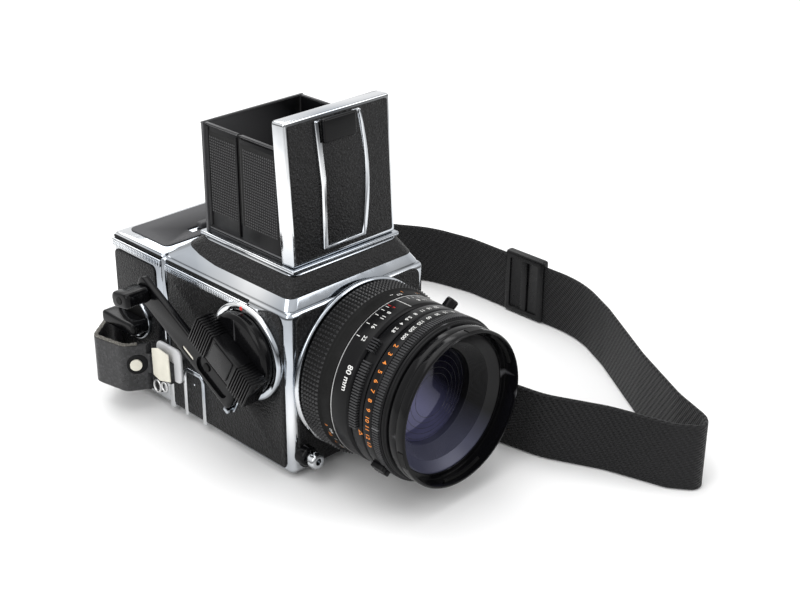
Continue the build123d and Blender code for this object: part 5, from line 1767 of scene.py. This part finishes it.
class CAMERAPART_OT_body(bpy.types.Operator):
    """Adds the chrome case, its leather covers, ledges, seam band and rib."""
    bl_idname = "camera_part.body"
    bl_label = "Dress Body"

    def execute(self, context):
        build_body()
        return {"FINISHED"}


class CAMERAPART_OT_cowl(bpy.types.Operator):
    """Adds the hipped chrome cowl and its leather band."""
    bl_idname = "camera_part.cowl"
    bl_label = "Dress Cowl"

    def execute(self, context):
        build_cowl()
        return {"FINISHED"}


class CAMERAPART_OT_hood(bpy.types.Operator):
    """Adds the raised lid, the side leaves and the rear panel of the waist-level hood."""
    bl_idname = "camera_part.hood"
    bl_label = "Dress Hood"

    def execute(self, context):
        build_hood()
        return {"FINISHED"}


class CAMERAPART_OT_lens(bpy.types.Operator):
    """Adds the mount rim, barrels, rings, glass, socket and scales of the lens."""
    bl_idname = "camera_part.lens"
    bl_label = "Dress Lens"

    def execute(self, context):
        build_lens()
        return {"FINISHED"}


class CAMERAPART_OT_button(bpy.types.Operator):
    """Adds the release button and its housing."""
    bl_idname = "camera_part.button"
    bl_label = "Dress Release Button"

    def execute(self, context):
        build_button()
        return {"FINISHED"}


class CAMERAPART_OT_winder(bpy.types.Operator):
    """Adds the flange, disc, ribbed bar, folding arm and handle of the crank."""
    bl_idname = "camera_part.winder"
    bl_label = "Dress Winding Crank"

    def execute(self, context):
        build_winder()
        return {"FINISHED"}


class CAMERAPART_OT_magazine(bpy.types.Operator):
    """Adds the magazine's case, covers, latch and film key."""
    bl_idname = "camera_part.magazine"
    bl_label = "Dress Film Magazine"

    def execute(self, context):
        build_magazine()
        return {"FINISHED"}


class CAMERAPART_OT_strap(bpy.types.Operator):
    """Adds the webbing, the leather ends, the slider, the clips and the lug studs."""
    bl_idname = "camera_part.strap"
    bl_label = "Dress Strap"

    def execute(self, context):
        build_strap()
        return {"FINISHED"}


class CAMERAPART_OT_solids(bpy.types.Operator):
    """Gives a finish to each solid that is shown as it is."""
    bl_idname = "camera_part.solids"
    bl_label = "Finish Carried Solids"

    def execute(self, context):
        dress_nodes()
        return {"FINISHED"}


OPERATORS = (
    CAMERAPART_OT_finishes,
    CAMERAPART_OT_stage,
    CAMERAPART_OT_body,
    CAMERAPART_OT_cowl,
    CAMERAPART_OT_hood,
    CAMERAPART_OT_lens,
    CAMERAPART_OT_button,
    CAMERAPART_OT_winder,
    CAMERAPART_OT_magazine,
    CAMERAPART_OT_strap,
    CAMERAPART_OT_solids,
)


class CAMERAPART_PT_pieces(bpy.types.Panel):
    """Lists the camera's settings and pieces."""
    bl_idname = "CAMERAPART_PT_pieces"
    bl_label = "Waist-level Camera"
    bl_space_type = "VIEW_3D"
    bl_region_type = "UI"
    bl_category = "Camera Part"

    def draw(self, context):
        for group, kind in SETTINGS.items():
            box = self.layout.box()
            for name in kind.__annotations__:
                box.prop(getattr(context.scene, "camera_part_" + group), name)
        for operator in OPERATORS:
            self.layout.operator(operator.bl_idname)


SETTINGS = {
    "finishes": CAMERAPART_PG_finishes,
    "hood": CAMERAPART_PG_hood,
    "lens": CAMERAPART_PG_lens,
    "strap": CAMERAPART_PG_strap,
    "stage": CAMERAPART_PG_stage,
}


def register():
    for group, kind in SETTINGS.items():
        bpy.utils.register_class(kind)
        setattr(bpy.types.Scene, "camera_part_" + group, bpy.props.PointerProperty(type=kind))
    for operator in OPERATORS:
        bpy.utils.register_class(operator)
    bpy.utils.register_class(CAMERAPART_PT_pieces)


def unregister():
    bpy.utils.unregister_class(CAMERAPART_PT_pieces)
    for operator in reversed(OPERATORS):
        bpy.utils.unregister_class(operator)
    for group, kind in reversed(list(SETTINGS.items())):
        delattr(bpy.types.Scene, "camera_part_" + group)
        bpy.utils.unregister_class(kind)


def main():
    register()
    bpy.ops.camera_part.finishes()
    bpy.ops.camera_part.stage()
    bpy.ops.camera_part.body()
    bpy.ops.camera_part.cowl()
    bpy.ops.camera_part.hood()
    bpy.ops.camera_part.lens()
    bpy.ops.camera_part.button()
    bpy.ops.camera_part.winder()
    bpy.ops.camera_part.magazine()
    bpy.ops.camera_part.strap()
    bpy.ops.camera_part.solids()


if __name__ == "__main__":
    main()
